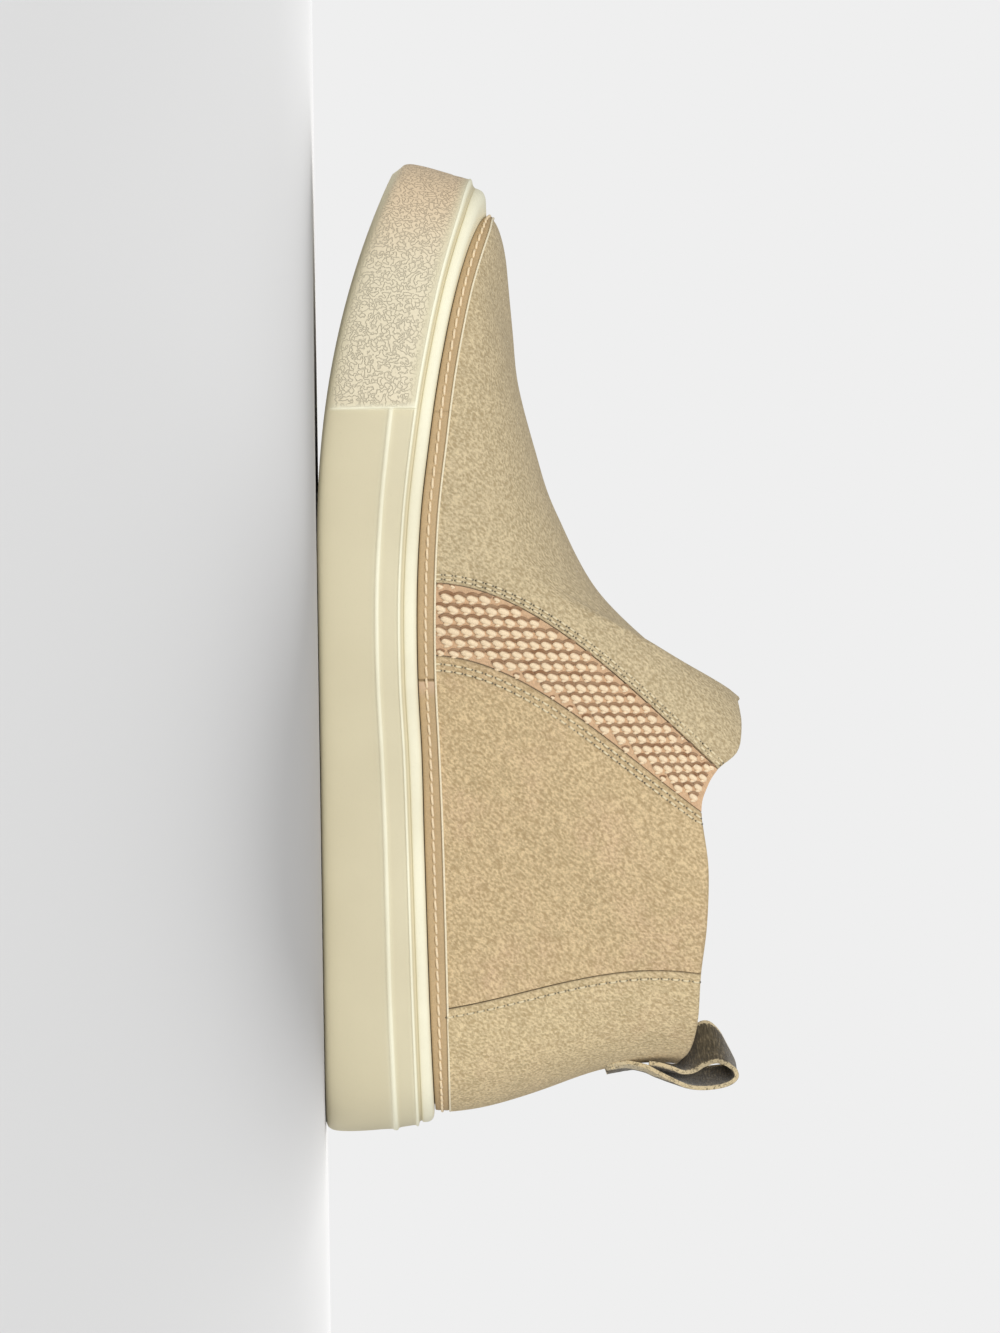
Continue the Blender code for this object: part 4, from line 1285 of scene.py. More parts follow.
def make_strip_cord(colours, lines):
    """Thin pale cord that lies on the strip against the upper."""
    def path(u, side):
        zero = np.zeros_like(u)
        normal = skin_normal(u, zero + 0.01, side)
        normal = unit(normal * (1, 1, 0))
        centre = skin(u, zero, side) + normal * (0.30 + 0.25 * toe_at(u))[:, None] * MM
        centre[:, 2] += CORD_RADIUS * 0.9
        return centre, normal

    centre, normal = closed_path(lines, path)
    turn = np.arange(CORD_SIDES) / CORD_SIDES * 2 * math.pi
    up = np.array((0, 0, 1.0))
    ring = np.cos(turn)[None, :, None] * normal[:, None] + np.sin(turn)[None, :, None] * up
    numbers = grid_numbers(len(centre), CORD_SIDES)
    numbers = np.concatenate((numbers, numbers[:1]))
    numbers = np.concatenate((numbers, numbers[:, :1]), 1)
    verts = centre[:, None] + ring * CORD_RADIUS
    mesh = make_mesh("strip_cord", verts, grid_faces(numbers), None, FIRM_ANGLE)
    make_object("strip_cord", mesh, thread_finish("strip_cord", colours.strip_cord),
                "welt_leather")


# Upper

EDGE_REACH = 0.9 * MM
EDGE_DROP = 0.42 * MM
GROOVE_HALF = 0.45 * MM
GROOVE_DROP = 0.28 * MM
RIPPLE_HEIGHT = 0.16 * MM
PANEL_FINE_STEP = 0.28 * MM

# Widths of the painted shade lines at a seam, at a stitch row and along the collar
SEAM_SHADE_WIDTH = 0.45 * MM
ROW_SHADE_WIDTH = 0.5 * MM
TOP_SHADE_WIDTH = 0.5 * MM

# Distances of the stitch rows from the edges of their panels, at the sole and at the collar
VAMP_ROWS = ((1.15, 1.1), (2.4, 2.3))
QUARTER_ROWS = ((2.3, 1.6), (4.1, 3.0))
COUNTER_ROWS = ((2.4, 2.4),)

# Soft troughs in millimetres of the side view: start, end, half width and depth
VAMP_CREASES = (
    ((20, 104), (31, 107), 1.6, 0.9),
    ((-60, 40), (-38, 62), 9.0, 0.25),
    ((-30, 40), (-6, 76), 7.0, 0.30),
)
QUARTER_CREASES = (
    ((58, 66), (68, 74), 1.6, 0.28),
    ((40, 60), (52, 88), 8.0, 0.30),
    ((70, 45), (84, 80), 10.0, 0.30),
)
COUNTER_CREASES = (
    ((106, 52), (100, 92), 6.0, 0.30),
)


def edge_line(u, side, count=320):
    return skin(u, np.linspace(0, 1, count), side)


def top_line(first, last, side, count=240):
    return skin(np.linspace(first, last, count), np.ones(count), side)


def suede_relief(points, base, seams, tops, creases, places):
    """Height of a panel over the skin, with round edges, sewn rows and soft troughs.
    seams are pairs of a line and the distances of its rows, tops the lines of the collar."""
    fade = np.ones(points.shape[:-1])
    height = np.full(points.shape[:-1], base)
    for line, rows in [*seams, *((top, ()) for top in tops)]:
        away = distance_to(points, line)
        height -= EDGE_DROP * np.clip(1 - away / EDGE_REACH, 0, 1) ** 2
        fade *= smooth_step(away / (4 * MM))
        for at_sole, at_collar in rows:
            row = blend(at_sole, at_collar, places) * MM
            height -= GROOVE_DROP * bell(away - row, GROOVE_HALF)
    height += RIPPLE_HEIGHT * ripple(points) * fade
    for start, end, half_width, depth in creases:
        height += crease(points, start, end, half_width, depth) * (0.4 + 0.6 * fade)
    return height


def suede_panel(name, sides, first, last, base, seams_of, tops_of, creases, material, replaced,
                extra=(), height_line=None, more=None):
    """One suede panel, from the strip to the ridge or the collar."""
    grid = bpy.context.scene.bootie_sizes.grid
    lines = graded_ribs(first, last, PANEL_FINE_STEP, grid, extra)
    heights = graded_heights(height_line or (first + last) / 2, PANEL_FINE_STEP, grid)
    v = np.repeat(heights[None], len(lines), 0)
    bottom = skin(lines, np.full_like(lines, 0.02), OUTER) - skin(lines, 0 * lines, OUTER)
    v[:, 0] = GAP * 0.02 / np.linalg.norm(bottom, axis=1)
    kept = {}

    def relief(v, side, points):
        if side not in kept:
            kept[side] = suede_relief(points, base, seams_of(side), tops_of(side), creases, v)
            if more:
                kept[side] = kept[side] + more(points, side)
        return kept[side]

    def outside(u, v, side):
        return layer(u, v, side, relief(v, side, skin(u, v, side)))

    def painted_shade_mark(u, v, side, points):
        # Painted shade: darkest at the seams, lighter at the stitch rows and along the collar
        base_points = skin(u, v, side)
        mark = np.zeros(u.shape)
        for line, rows in seams_of(side):
            away = distance_to(base_points, line)
            mark = np.maximum(mark, bell(away, SEAM_SHADE_WIDTH))
            for at_sole, at_collar in rows:
                row = blend(at_sole, at_collar, v) * MM
                mark = np.maximum(mark, 0.30 * bell(away - row, ROW_SHADE_WIDTH))
        for line in tops_of(side):
            away = distance_to(base_points, line)
            mark = np.maximum(mark, 0.5 * bell(away, TOP_SHADE_WIDTH))
        return mark

    mesh = make_shell(name, sides, panel_ribs(lines, v), v, outside, back_face,
                      {"edge": painted_shade_mark})
    return make_object(name, mesh, material, "suede", *replaced)


def tab_padding(points, side):
    """Soft roll of the raised tab over the instep."""
    x, _, z = np.moveaxis(points / MM, -1, 0)
    along = bell(z - 109, 8) * bell(x - 22, 16)
    top = distance_to(points, top_line(TAB_START, VAMP_EDGE, side))
    return 0.7 * MM * along * smooth_step(top / (4 * MM))


def back_seam_groove(points, side):
    """Seam down the middle of the heel."""
    return -0.40 * MM * bell(distance_to(points, edge_line(BACK_SEAM, side)), 0.5 * MM)


def make_suede(colours):
    """Vamp, side panels and heel panel."""
    # The last number of each finish is how strong its painted shade at the seams is
    vamp = suede_finish("vamp_suede", colours.vamp, colours.vamp_patch, 0.5, 0.18)
    sides = suede_finish("side_suede", colours.quarter, colours.quarter_patch, 0.8, 0.75)
    heel = suede_finish("heel_suede", colours.counter, colours.quarter_patch, 0.4, 0.6)
    suede_panel("vamp_panel", BOTH, 0, VAMP_EDGE, 0.0,
                lambda side: [(edge_line(VAMP_EDGE, side), VAMP_ROWS)],
                lambda side: [top_line(TAB_START, VAMP_EDGE, side)], VAMP_CREASES, vamp,
                ("vamp",), extra=(TAB_START,), height_line=9.0, more=tab_padding)
    for side, word in SIDE_NAMES:
        suede_panel("quarter_panel_" + word, (side,), GORE_EDGE, COUNTER_EDGE, 0.0,
                    lambda side: [(edge_line(GORE_EDGE, side), QUARTER_ROWS)],
                    lambda side: [top_line(GORE_EDGE, COUNTER_EDGE, side)], QUARTER_CREASES,
                    sides, ("quarter_" + word,))
    suede_panel("heel_panel", BOTH, COUNTER_EDGE, BACK_SEAM, COUNTER_STEP,
                lambda side: [(edge_line(COUNTER_EDGE, side), COUNTER_ROWS)],
                lambda side: [top_line(COUNTER_EDGE, BACK_SEAM, side)], COUNTER_CREASES,
                heel, ("heel_counter",), more=back_seam_groove)


# Elastic

KNIT_SPAN = (33.0, 105.0)
KNIT_ROW_AT_COLLAR = 0.88
KNIT_LOOP_AT_COLLAR = 0.74
KNIT_TILT = math.tan(math.radians(-1.5))

# Strands of a loop: length, radius, place across the row and angle
KNIT_STRANDS = ((1.02, 0.29, -0.06, -24), (0.60, 0.15, -0.40, 10))

# Place of the first row in millimetres, the rows tried, and how loops end at the panel's edges
KNIT_FIRST = 8
KNIT_ROWS = range(-14, 30)
KNIT_EDGE = 0.5 * MM
KNIT_TOP_EDGE = 1.0 * MM
KNIT_FULL_SIZE = 1.35 * MM
KNIT_LEAST_SIZE = 0.37
GROUND_DROP = 0.15 * MM
GROUND_FINE_STEP = 0.4 * MM
GROUND_WIDE_STEP = 1.2 * MM


def make_gores(sizes, colours):
    """Elastic panels: a plain ground, and knitted loops set in slanting rows."""
    ground = knit_finish("elastic_ground", colours.knit_base, shaded(colours.knit_base, 0.6), 0.5)
    yarn = knit_finish("elastic_loops", colours.knit, colours.knit_arch_painted_shade, 0.18)
    shape = loop_shape(sizes.knit_loop, sizes.knit_row)
    tree = loop_tree()
    for side, word in SIDE_NAMES:
        lines = graded_ribs(VAMP_EDGE, GORE_EDGE, GROUND_FINE_STEP, GROUND_WIDE_STEP)
        heights = graded_heights(12, GROUND_FINE_STEP, GROUND_WIDE_STEP)
        v = np.repeat(heights[None], len(lines), 0)
        v[:, 0] = 0.004

        def outside(u, v, side):
            return layer(u, v, side, np.full(u.shape, -GORE_RECESS - GROUND_DROP))

        mesh = make_shell("gore_ground_" + word, (side,), panel_ribs(lines, v), v, outside,
                          back_face)
        make_object("gore_ground_" + word, mesh, ground, "elastic", "gore_" + word)
        source = knit_points(side, sizes)
        loops = apply_tree(tree, "gore_loops_" + word, source, {"Loop": shape, "Finish": yarn})
        loops.shade_smooth()
        make_object("gore_loops_" + word, loops, yarn, "elastic")
    bpy.data.objects.remove(shape)


def loop_shape(length, row):
    """One knitted loop: a fat slanting bead, a small strand under it, and over it an arch strand of
    painted shade for the shade between the rows.
    """
    parts = []
    for share, radius, offset, angle in KNIT_STRANDS:
        x = np.linspace(-0.5, 0.5, 9) * length * share
        flat = 2 * x / (length * share)
        centre = np.stack((x, 0 * x, (0.06 - 0.16 * flat ** 2) * row), -1)
        taper = np.sqrt(np.clip(1.0001 - flat ** 4, 0, 1)) + 0.02
        verts, faces = tube_shape(centre, radius * row * taper, 8, 0.75)
        place = (Matrix.Translation((0, offset * row, 0))
                 @ Matrix.Rotation(math.radians(angle), 4, "Z"))
        turned = verts @ np.array(place.to_3x3()).T + np.array(place.translation)
        parts.append((turned, faces, 0.0))
    # Arch over the bead: a strand marked for painted shade, standing for the shade between the rows
    x = np.linspace(-0.5, 0.5, 9) * length
    rise = (0.20 + 0.24 * np.cos(x / length * math.pi)) * row
    verts, faces = tube_shape(np.stack((x, 0 * x, rise), -1), 0 * x + 0.15 * row)
    parts.append((verts[:, (0, 2, 1)] + (0, 0, 0.04 * row), faces, 1.0))
    return shape_object("knit_loop_shape", parts)


def knit_points(side, sizes):
    """Places of the loops, in rows that lean and close up towards the collar."""
    u, v = np.meshgrid(np.linspace(VAMP_EDGE, GORE_EDGE, 150), np.linspace(0.0, 1.0, 560),
                       indexing="ij")
    points = skin(u, v, side)
    flat = points[..., (0, 2)].reshape(-1, 2)
    low, high = KNIT_SPAN
    heights, z = [], low - 3.0
    while z < high + 4:
        heights.append(z)
        share = np.clip((z - low) / (high - low), 0, 1)
        z += blend(1.0, KNIT_LOOP_AT_COLLAR, share) * sizes.knit_loop / MM
    centres, scales = [], []
    for row in KNIT_ROWS:
        for number, z in enumerate(heights):
            share = np.clip((z - low) / (high - low), 0, 1)
            pitch = blend(1.0, KNIT_ROW_AT_COLLAR, share) * sizes.knit_row / MM
            nudge = 0.5 * (row % 2) * (heights[min(number + 1, len(heights) - 1)] - z)
            x = KNIT_FIRST + row * pitch - KNIT_TILT * (z + nudge - low)
            centres.append((x, z + nudge))
            scales.append((blend(1.0, KNIT_LOOP_AT_COLLAR, share),
                           blend(1.0, KNIT_ROW_AT_COLLAR, share)))
    centres = np.array(centres) * MM
    chosen, kept = [], []
    for number, centre in enumerate(centres):
        away = ((flat - centre) ** 2).sum(1)
        best = int(away.argmin())
        if away[best] < (0.25 * MM) ** 2:
            chosen.append(best)
            kept.append(number)
    chosen, size = np.array(chosen), np.array(scales)[kept]
    u, v = u.ravel()[chosen], v.ravel()[chosen]
    place = skin(u, v, side)
    edge = np.minimum(distance_to(place, edge_line(VAMP_EDGE, side)),
                      distance_to(place, edge_line(GORE_EDGE, side)))
    top = distance_to(place, top_line(VAMP_EDGE, GORE_EDGE, side))
    fits = (edge > KNIT_EDGE) & (top > KNIT_TOP_EDGE) & (v > 0.008)
    u, v, place, size, edge = u[fits], v[fits], place[fits], size[fits], edge[fits]
    normal = skin_normal(u, v, side)
    shrink = np.clip(edge / KNIT_FULL_SIZE, KNIT_LEAST_SIZE, 1.0)
    size = np.concatenate((size * shrink[:, None], shrink[:, None]), -1)
    lean = np.array((-KNIT_TILT, 0, 1.0))
    up = lean - normal * (normal @ lean)[:, None]
    place = place - normal * (GORE_RECESS + 0.1 * MM)
    return point_mesh("knit_points", place, facing=normal, along=up, size=size)


# Inside of the shoe

# Lowest free line of the lining, and the rounding of its upper edge
LINING_START = 1 / 7
ROUND_DEPTH = 0.5 * MM
ROUND_REACH = 0.8 * MM


def make_inside(colours):
    """Lining up to the collar, and the footbed."""
    backing = SUEDE_THICKNESS + GAP
    lines = graded_ribs(0, BACK_SEAM, 0.8 * MM, 1.8 * MM, extra=(TAB_START,))
    heights = blend(LINING_START, 1.0, graded(1, 0.006, 0.028))
    heights[-1] = 1.0
    rim = v_of_height(lines, OUTER, rim_height(lines, OUTER))
    v = np.concatenate((np.full((len(lines), 1), -1.0), rim[:, None],
                        np.repeat(heights[None], len(lines), 0)), 1)

    def rounding(u, v, side):
        points = skin(u, v, side)
        away = distance_to(points, top_line(TAB_START, BACK_SEAM, side, 700))
        return ROUND_DEPTH * np.clip(1 - away / ROUND_REACH, 0, 1) ** 2

    def outside(u, v, side):
        return layer(u, v, side, -backing - rounding(u, v, side))

    def inside(u, v, side):
        return layer(u, v, side, -backing - LINING_THICKNESS + rounding(u, v, side))

    mesh = make_shell("lining", BOTH, straight_ribs(lines, v.shape[1]), v, outside, inside)
    make_object("lining", mesh, lining_finish("lining_leather", colours.lining), "lining", "upper")
    make_footbed(colours, lines)


# Rows of the footbed's top, as shares of its half width
FOOTBED_SHARES = (0.985, 0.95, 0.88, 0.75, 0.55, 0.3, 0.0)


def make_footbed(colours, lines):
    """Footbed with a round edge and a soft dish, deepest at the heel."""
    offset = np.full_like(lines, -SUEDE_THICKNESS - GAP - LINING_THICKNESS - GAP)

    def section(side):
        floor = levels_at(lines, side)[:, 4]
        top = v_of_height(lines, side, floor + GAP + INSOLE_THICKNESS)
        low, far_low = (layer(lines, 0 * lines - 1, each, offset) for each in (side, -side))
        high, far_high = (layer(lines, top, each, offset) for each in (side, -side))
        rows = [blend((low + far_low) / 2, low, share) for share in (0.0, 0.5, 1.0)]
        rows += [blend(low, high, share) for share in (0.4, 0.8)]
        for share in FOOTBED_SHARES:
            row = blend((high + far_high) / 2, high, share)
            heel = smooth_step((row[:, 0] - 0.03) / 0.06)
            dish = (0.6 + 1.0 * heel) * (1 - share ** 2) - 0.5 * smooth_step((share - 0.9) / 0.1)
            row[:, 2] -= np.maximum(dish, 0.0) * MM
            row[:, 2] -= 0.5 * MM * smooth_step((share - 0.93) / 0.07)
            rows.append(row)
        return np.stack(rows, 1)

    mesh = make_mesh("footbed", *both_sides(section), None, FIRM_ANGLE)
    bed = make_object("footbed", mesh, lining_finish("footbed_leather", colours.footbed),
                      "footbed", "insole")


# Stitches

# Lengths of the stitches as shares of their pitch, and how they lie
LONG_SHARE = 0.86
SHORT_SHARE = 0.80
LONG_THICKER = 1.15
LONG_SLANT = math.radians(5)
THREAD_SINK = 0.1 * MM
# How dark the painted shade is at the stitch ends, standing for the shade in their holes
HOLE_PAINTED_SHADE = 0.16


def stitch_shape(name, length, thickness):
    """One stitch: an arched thread whose ends dive into their holes, marked for painted shade
    there.
    """
    x = np.linspace(-0.5, 0.5, 9) * length
    rise = thickness * (0.42 - 0.8 * abs(2 * x / length) ** 3.2)
    radii = thickness / 2 * (1 - 0.15 * abs(2 * x / length) ** 3)
    verts, faces = tube_shape(np.stack((x, 0 * x, rise), -1), radii, 7)
    # Marks of painted shade at both ends, for the shade in the holes
    ends = smooth_step((abs(2 * verts[:, 0] / length) - 0.5) / 0.3)
    return shape_object(name, [(verts, faces, ends)])


def seam_path(side, edge, toward, row, first=0.012, last=0.985):
    """Rib numbers and heights of a stitch row at its distances from a panel's edge."""
    v = np.linspace(first, last, 110)
    u = edge + toward * np.linspace(0, 3.4, 130)
    points = skin(np.repeat(u[None], len(v), 0), np.repeat(v[:, None], len(u), 1), side)
    away = distance_to(points, edge_line(edge, side, 200))
    target = blend(row[0], row[1], v) * MM
    found = np.array([np.interp(goal, line, u) for goal, line in zip(target, away)])
    return found, v


def make_stitches(sizes, colours):
    """Stitch rows on the strip and along the edges of the panels."""
    pale = thread_finish("strip_thread", colours.welt_thread)
    seam = thread_finish("seam_thread", colours.seam_thread, HOLE_PAINTED_SHADE)
    tree = stitch_tree()
    long = stitch_shape("long_stitch", sizes.welt_pitch * LONG_SHARE, sizes.thread * LONG_THICKER)
    short = stitch_shape("short_stitch", sizes.seam_pitch * SHORT_SHARE, sizes.thread)

    def strip_path(u, side):
        low, high = strip_span(u, side)
        v = (low + high) / 2
        normal = skin_normal(u, v, side)
        return skin(u, v, side) + normal * (strip_face(u, v) - THREAD_SINK)[:, None], normal

    path, facing = closed_path(graded_ribs(0, BACK_SEAM, 0.8 * MM, WIDE_STEP), strip_path)
    chains = chain_mesh("strip_seam", [(path, facing, True)])
    mesh = apply_tree(tree, "strip_stitches", chains,
                      {"Pitch": sizes.welt_pitch, "Thread": long, "Slant": LONG_SLANT,
                       "Finish": pale})
    make_object("strip_stitches", mesh, pale, "welt_leather")
    chains = []
    for side in BOTH:
        for edge, toward, rows, base in (
                (VAMP_EDGE, -1, VAMP_ROWS, 0.0), (GORE_EDGE, 1, QUARTER_ROWS, 0.0),
                (COUNTER_EDGE, 1, COUNTER_ROWS, COUNTER_STEP)):
            for row in rows:
                u, v = seam_path(side, edge, toward, row)
                normal = skin_normal(u, v, side)
                lift = base - GROOVE_DROP + 0.05 * MM
                chains.append((skin(u, v, side) + normal * lift, normal, False))
    mesh = apply_tree(tree, "panel_stitches", chain_mesh("panel_seams", chains),
                      {"Pitch": sizes.seam_pitch, "Thread": short, "Slant": 0.0, "Finish": seam})
    make_object("panel_stitches", mesh, seam, "suede")
    for shape in (long, short):
        bpy.data.objects.remove(shape)


# Pull loop

# How far the tape bows backwards at its middle, and its distance from the heel where it lies on it
LOOP_BOW = 1.2 * MM
LOOP_REST = 0.75 * MM


def make_loop(colours):
    """Folded webbing behind the heel, with raw pale edges."""
    back = skin(np.array(float(BACK_SEAM)), np.array(1.0), OUTER)
    row = np.linspace(0, len(LOOP) - 1, 10 * (len(LOOP) - 1) + 1)
    route = read_table(numbered(LOOP, 0), row) * LOOP_HEIGHT
    near_x, near_z, far_x, far_z = np.moveaxis(route, -1, 0)
    lean = (far_x - near_x) ** 2 + (far_z - near_z) ** 2
    half = np.sqrt(np.maximum(LOOP_WIDTH ** 2 - lean, (0.4 * LOOP_WIDTH) ** 2)) / 2
    across = np.array((0, 0.03, 0.07, 0.14, 0.24, 0.36, 0.5, 0.64, 0.76, 0.86, 0.93, 0.97, 1.0))
    near, far = np.stack((near_x, -half, near_z), -1), np.stack((far_x, half, far_z), -1)
    middle = back + blend(near[:, None], far[:, None], across[:, None])
    middle[..., 0] += LOOP_BOW * (1 - (2 * across - 1) ** 2)
    middle[..., 0] = np.maximum(middle[..., 0], heel_behind(middle) + LOOP_REST)
    along = np.gradient(middle, axis=0)
    normal = unit(np.cross(along, np.gradient(middle, axis=1)))
    edge = abs(2 * across - 1)
    thick = LOOP_THICKNESS / 2 * (1 - 0.25 * smooth_step((edge - 0.8) / 0.2))
    length = np.cumsum(np.linalg.norm(along, axis=-1).mean(1))
    ends = np.maximum(1 - (length - length[0]) / MM, 1 - (length[-1] - length) / MM)
    tail = 0.5 * smooth_step((length / length[-1] - 0.72) / 0.1)[:, None]
    raw = np.clip(np.maximum((edge - 0.80 + tail) / 0.20, ends[:, None]), 0, 1)
    marks = np.stack((np.broadcast_to(length[:, None], raw.shape),
                      np.broadcast_to(across * LOOP_WIDTH, raw.shape), raw), -1)
    offset = normal * thick[:, None]
    rows, columns = raw.shape
    front = grid_numbers(rows, columns)
    behind = front + front.size
    faces = [grid_faces(front), grid_faces(behind)]
    for strip in (np.s_[0], np.s_[-1], np.s_[:, 0], np.s_[:, -1]):
        faces.append(band_faces(front[strip], behind[strip]))
    length, width, raw = np.concatenate((marks, marks)).reshape(-1, 3).T
    mesh = make_mesh("pull_loop_webbing", np.concatenate((middle + offset, middle - offset)),
                     np.concatenate(faces), {"along": length, "across": width, "raw": raw},
                     FIRM_ANGLE)
    make_object("pull_loop_webbing", mesh,
                webbing_finish("loop_webbing", colours.webbing, colours.webbing_edge),
                "webbing", "pull_loop")


def heel_behind(points):
    """How far back the heel panel reaches at the places of points, or -1 past its edges."""
    u, v = np.meshgrid(np.linspace(BACK_SEAM - 5, BACK_SEAM, 26), np.linspace(0.7, 1, 44))
    wall = np.concatenate([skin(u, v, side).reshape(-1, 3) for side in BOTH])
    away = ((points.reshape(-1, 1, 3)[..., 1:] - wall[:, 1:]) ** 2).sum(-1)
    nearest = away.argmin(1)
    reach = np.where(away.min(1) < (0.8 * MM) ** 2, wall[nearest, 0] + COUNTER_STEP, -1.0)
    return reach.reshape(points.shape[:2])


# Stage

# Camera: sensor in millimetres, then in metres the image's height, distance, middle and turn
SENSOR = 36.0
IMAGE_HEIGHT = 0.3692
CAMERA_DISTANCE = 6.0
VIEW_CENTRE = (0.00586, 0.04987)
IMAGE_TURN = 0.01413

# Paper of the floor: its near edge, where it starts to fall, its far edge, half its width, how
# steeply it falls and how long the bend is
FLOOR_NEAR = -1.6
FLOOR_FRONT = -0.056
FLOOR_BACK = 0.062
FLOOR_HALF = 1.5
FLOOR_SLOPE = 0.2
FLOOR_BEND = 0.08

# Surroundings: what the camera sees, out of 255, and their strength as a light
BACKDROP_LEVELS = (239, 239, 239)
WORLD_LIGHT = 0.45

# Lights: place, target, size and power. The one behind lights only the floor
FRONT_LIGHT = ((-0.1, -2.2, 1.0), (0, 0, 0.05), 1.4, 35)
BACK_LIGHT = ((0.06, 1.2, 0.86), (0, 0, 0), 0.85, 37)


def make_camera():
    """Level view of the outer side from far away, turned so that the toe points up."""
    data = bpy.data.cameras.new("camera")
    data.sensor_width = SENSOR
    data.lens = SENSOR * CAMERA_DISTANCE / IMAGE_HEIGHT
    data.clip_end = 100
    camera = new_object("camera", data)
    right = np.array((IMAGE_TURN, 0, 1)) / math.hypot(1, IMAGE_TURN)
    up = np.array((-1, 0, IMAGE_TURN)) / math.hypot(1, IMAGE_TURN)
    columns = np.stack((right, up, (0, -1, 0)), 1)
    place = Matrix(columns.tolist()).to_4x4()
    place.translation = (VIEW_CENTRE[0], -CAMERA_DISTANCE, VIEW_CENTRE[1])
    camera.matrix_world = place
    bpy.context.scene.camera = camera


def add_light(name, place, target, size, power):
    """Round area light at a place, turned to its target."""
    data = bpy.data.lights.new(name, "AREA")
    data.shape = "DISK"
    data.size = size
    data.energy = power
    light = new_object(name, data)
    direction = np.array(place, float) - np.array(target, float)
    axis = unit(direction)
    side = unit(np.cross((0, 1, 0) if abs(axis[1]) < 0.9 else (1, 0, 0), axis))
    matrix = Matrix(np.stack((side, np.cross(axis, side), axis), 1).tolist()).to_4x4()
    matrix.translation = place
    light.matrix_world = matrix
    return light


def make_floor(colour):
    """Sheet of paper that is level under the shoe and falls away softly in front of it."""
    y = np.concatenate((np.linspace(FLOOR_NEAR, FLOOR_FRONT - 0.1, 24),
                        np.linspace(FLOOR_FRONT - 0.09, FLOOR_FRONT + 0.01, 21), (FLOOR_BACK,)))
    x = np.linspace(-FLOOR_HALF, FLOOR_HALF, 13)
    drop = np.maximum(FLOOR_FRONT - y, 0)
    z = -FLOOR_SLOPE * np.where(drop < FLOOR_BEND, drop * drop / (2 * FLOOR_BEND),
                                drop - FLOOR_BEND / 2)
    points = np.stack(np.meshgrid(x, y, indexing="ij"), -1)
    heights = np.broadcast_to(z, points.shape[:2])
    verts = np.concatenate((points, heights[..., None] - 0.0001), -1)
    mesh = make_mesh("floor", verts, grid_faces(grid_numbers(len(x), len(y))), merge=False)
    mesh.materials.append(paper_finish(colour))
    floor = new_object("floor", mesh)


def make_world():
    """Plain pale surroundings, brighter to the camera than as a light."""
    world = bpy.data.worlds.new("pale_studio")
    world.use_nodes = True
    bpy.context.scene.world = world
    nodes = Nodes(world.node_tree)
    shown, lit = (
        nodes.add("ShaderNodeBackground", {"Color": opaque(colour), "Strength": strength})
        for colour, strength in ((tint(*BACKDROP_LEVELS), 1.0), ((1.0, 1.0, 1.0), WORLD_LIGHT)))
    path = nodes.add("ShaderNodeLightPath")
    both = nodes.add("ShaderNodeMixShader", {0: path.outputs["Is Camera Ray"], 1: lit, 2: shown})
    nodes.feed(world.node_tree.nodes["World Output"].inputs["Surface"], both)
    world.node_tree.nodes.remove(world.node_tree.nodes["Background"])


class BOOTIE_OT_stage(bpy.types.Operator):
    """Make the floor, the lights and the camera"""
    bl_idname = "bootie.stage"
    bl_label = "Make stage"

    def execute(self, context):
        context.scene.view_settings.view_transform = "Standard"
        make_floor(tuple(context.scene.bootie_colours.paper))
        make_world()
        add_light("front", *FRONT_LIGHT)
        behind = add_light("behind", *BACK_LIGHT)
        only_floor = bpy.data.collections.new("lit_from_behind")
        only_floor.objects.link(bpy.data.objects["floor"])
        behind.light_linking.receiver_collection = only_floor
        make_camera()
        return {"FINISHED"}


class Palette:
    """The colours of the scene's properties as plain tuples."""

    def __init__(self, group):
        for name in group.bl_rna.properties.keys():
            if name not in ("rna_type", "name"):
                setattr(self, name, tuple(getattr(group, name)))


class BOOTIE_OT_sole(bpy.types.Operator):
    """Make the moulded rubber cup sole"""
    bl_idname = "bootie.sole"
    bl_label = "Make sole"

    def execute(self, context):
        make_sole(Palette(context.scene.bootie_colours))
        return {"FINISHED"}


class BOOTIE_OT_strip(bpy.types.Operator):
    """Make the leather strip over the sole and its thin cord"""
    bl_idname = "bootie.strip"
    bl_label = "Make leather strip"

    def execute(self, context):
        make_strip(Palette(context.scene.bootie_colours))
        return {"FINISHED"}


class BOOTIE_OT_suede(bpy.types.Operator):
    """Make the suede panels"""
    bl_idname = "bootie.suede"
    bl_label = "Make suede panels"

    def execute(self, context):
        make_suede(Palette(context.scene.bootie_colours))
        return {"FINISHED"}


class BOOTIE_OT_gores(bpy.types.Operator):
    """Make the elastic panels and their knitted loops"""
    bl_idname = "bootie.gores"
    bl_label = "Make elastic panels"

    def execute(self, context):
        make_gores(context.scene.bootie_sizes, Palette(context.scene.bootie_colours))
        return {"FINISHED"}


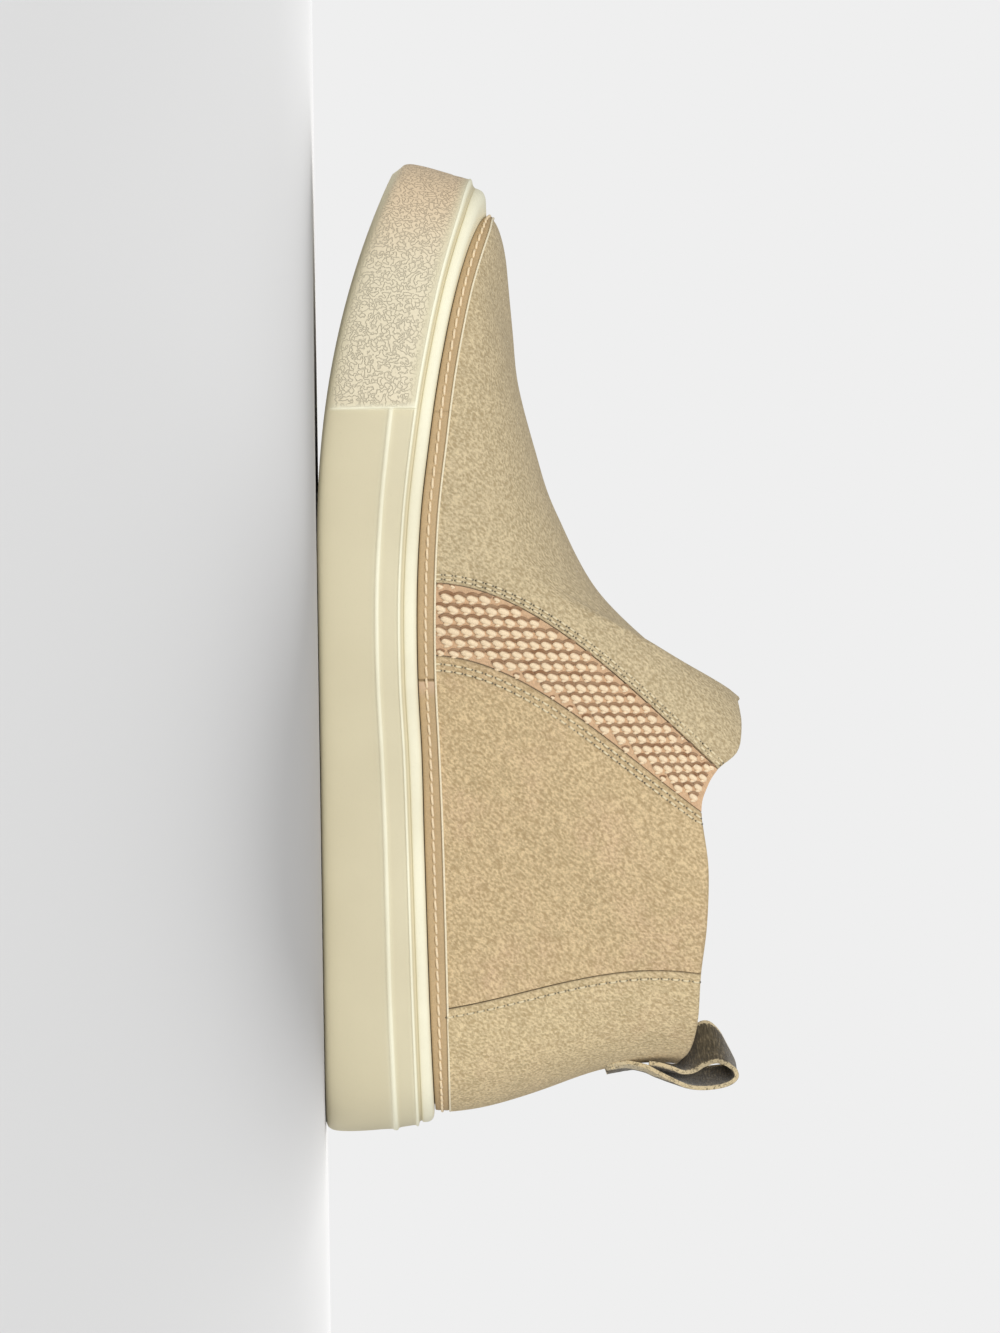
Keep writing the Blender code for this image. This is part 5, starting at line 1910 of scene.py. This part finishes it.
class BOOTIE_OT_inside(bpy.types.Operator):
    """Make the lining and the footbed"""
    bl_idname = "bootie.inside"
    bl_label = "Make inside"

    def execute(self, context):
        make_inside(Palette(context.scene.bootie_colours))
        return {"FINISHED"}


class BOOTIE_OT_stitches(bpy.types.Operator):
    """Make the stitch rows"""
    bl_idname = "bootie.stitches"
    bl_label = "Make stitches"

    def execute(self, context):
        make_stitches(context.scene.bootie_sizes, Palette(context.scene.bootie_colours))
        return {"FINISHED"}


class BOOTIE_OT_loop(bpy.types.Operator):
    """Make the pull loop behind the heel"""
    bl_idname = "bootie.loop"
    bl_label = "Make pull loop"

    def execute(self, context):
        make_loop(Palette(context.scene.bootie_colours))
        return {"FINISHED"}


OPERATORS = (BOOTIE_OT_stage, BOOTIE_OT_sole, BOOTIE_OT_strip, BOOTIE_OT_suede, BOOTIE_OT_gores,
             BOOTIE_OT_inside, BOOTIE_OT_stitches, BOOTIE_OT_loop)


class BOOTIE_PT_panel(bpy.types.Panel):
    """Buttons and settings of the bootie"""
    bl_idname = "BOOTIE_PT_panel"
    bl_label = "Slip-on bootie"
    bl_space_type = "VIEW_3D"
    bl_region_type = "UI"
    bl_category = "Bootie"

    def draw(self, context):
        for operator in OPERATORS:
            self.layout.operator(operator.bl_idname)
        for group in (context.scene.bootie_sizes, context.scene.bootie_colours):
            box = self.layout.box()
            for name in group.bl_rna.properties.keys():
                if name not in ("rna_type", "name"):
                    box.prop(group, name)


CLASSES = (BootieSizes, BootieColours, *OPERATORS, BOOTIE_PT_panel)


def register():
    for each in CLASSES:
        bpy.utils.register_class(each)
    bpy.types.Scene.bootie_sizes = PointerProperty(type=BootieSizes)
    bpy.types.Scene.bootie_colours = PointerProperty(type=BootieColours)


def unregister():
    del bpy.types.Scene.bootie_colours
    del bpy.types.Scene.bootie_sizes
    for each in reversed(CLASSES):
        bpy.utils.unregister_class(each)


def main():
    """Make every piece."""
    register()
    for operator in OPERATORS:
        name = operator.bl_idname.split(".")[1]
        if getattr(bpy.ops.bootie, name)() != {"FINISHED"}:
            raise RuntimeError(name + " was not finished")


if __name__ == "__main__":
    main()
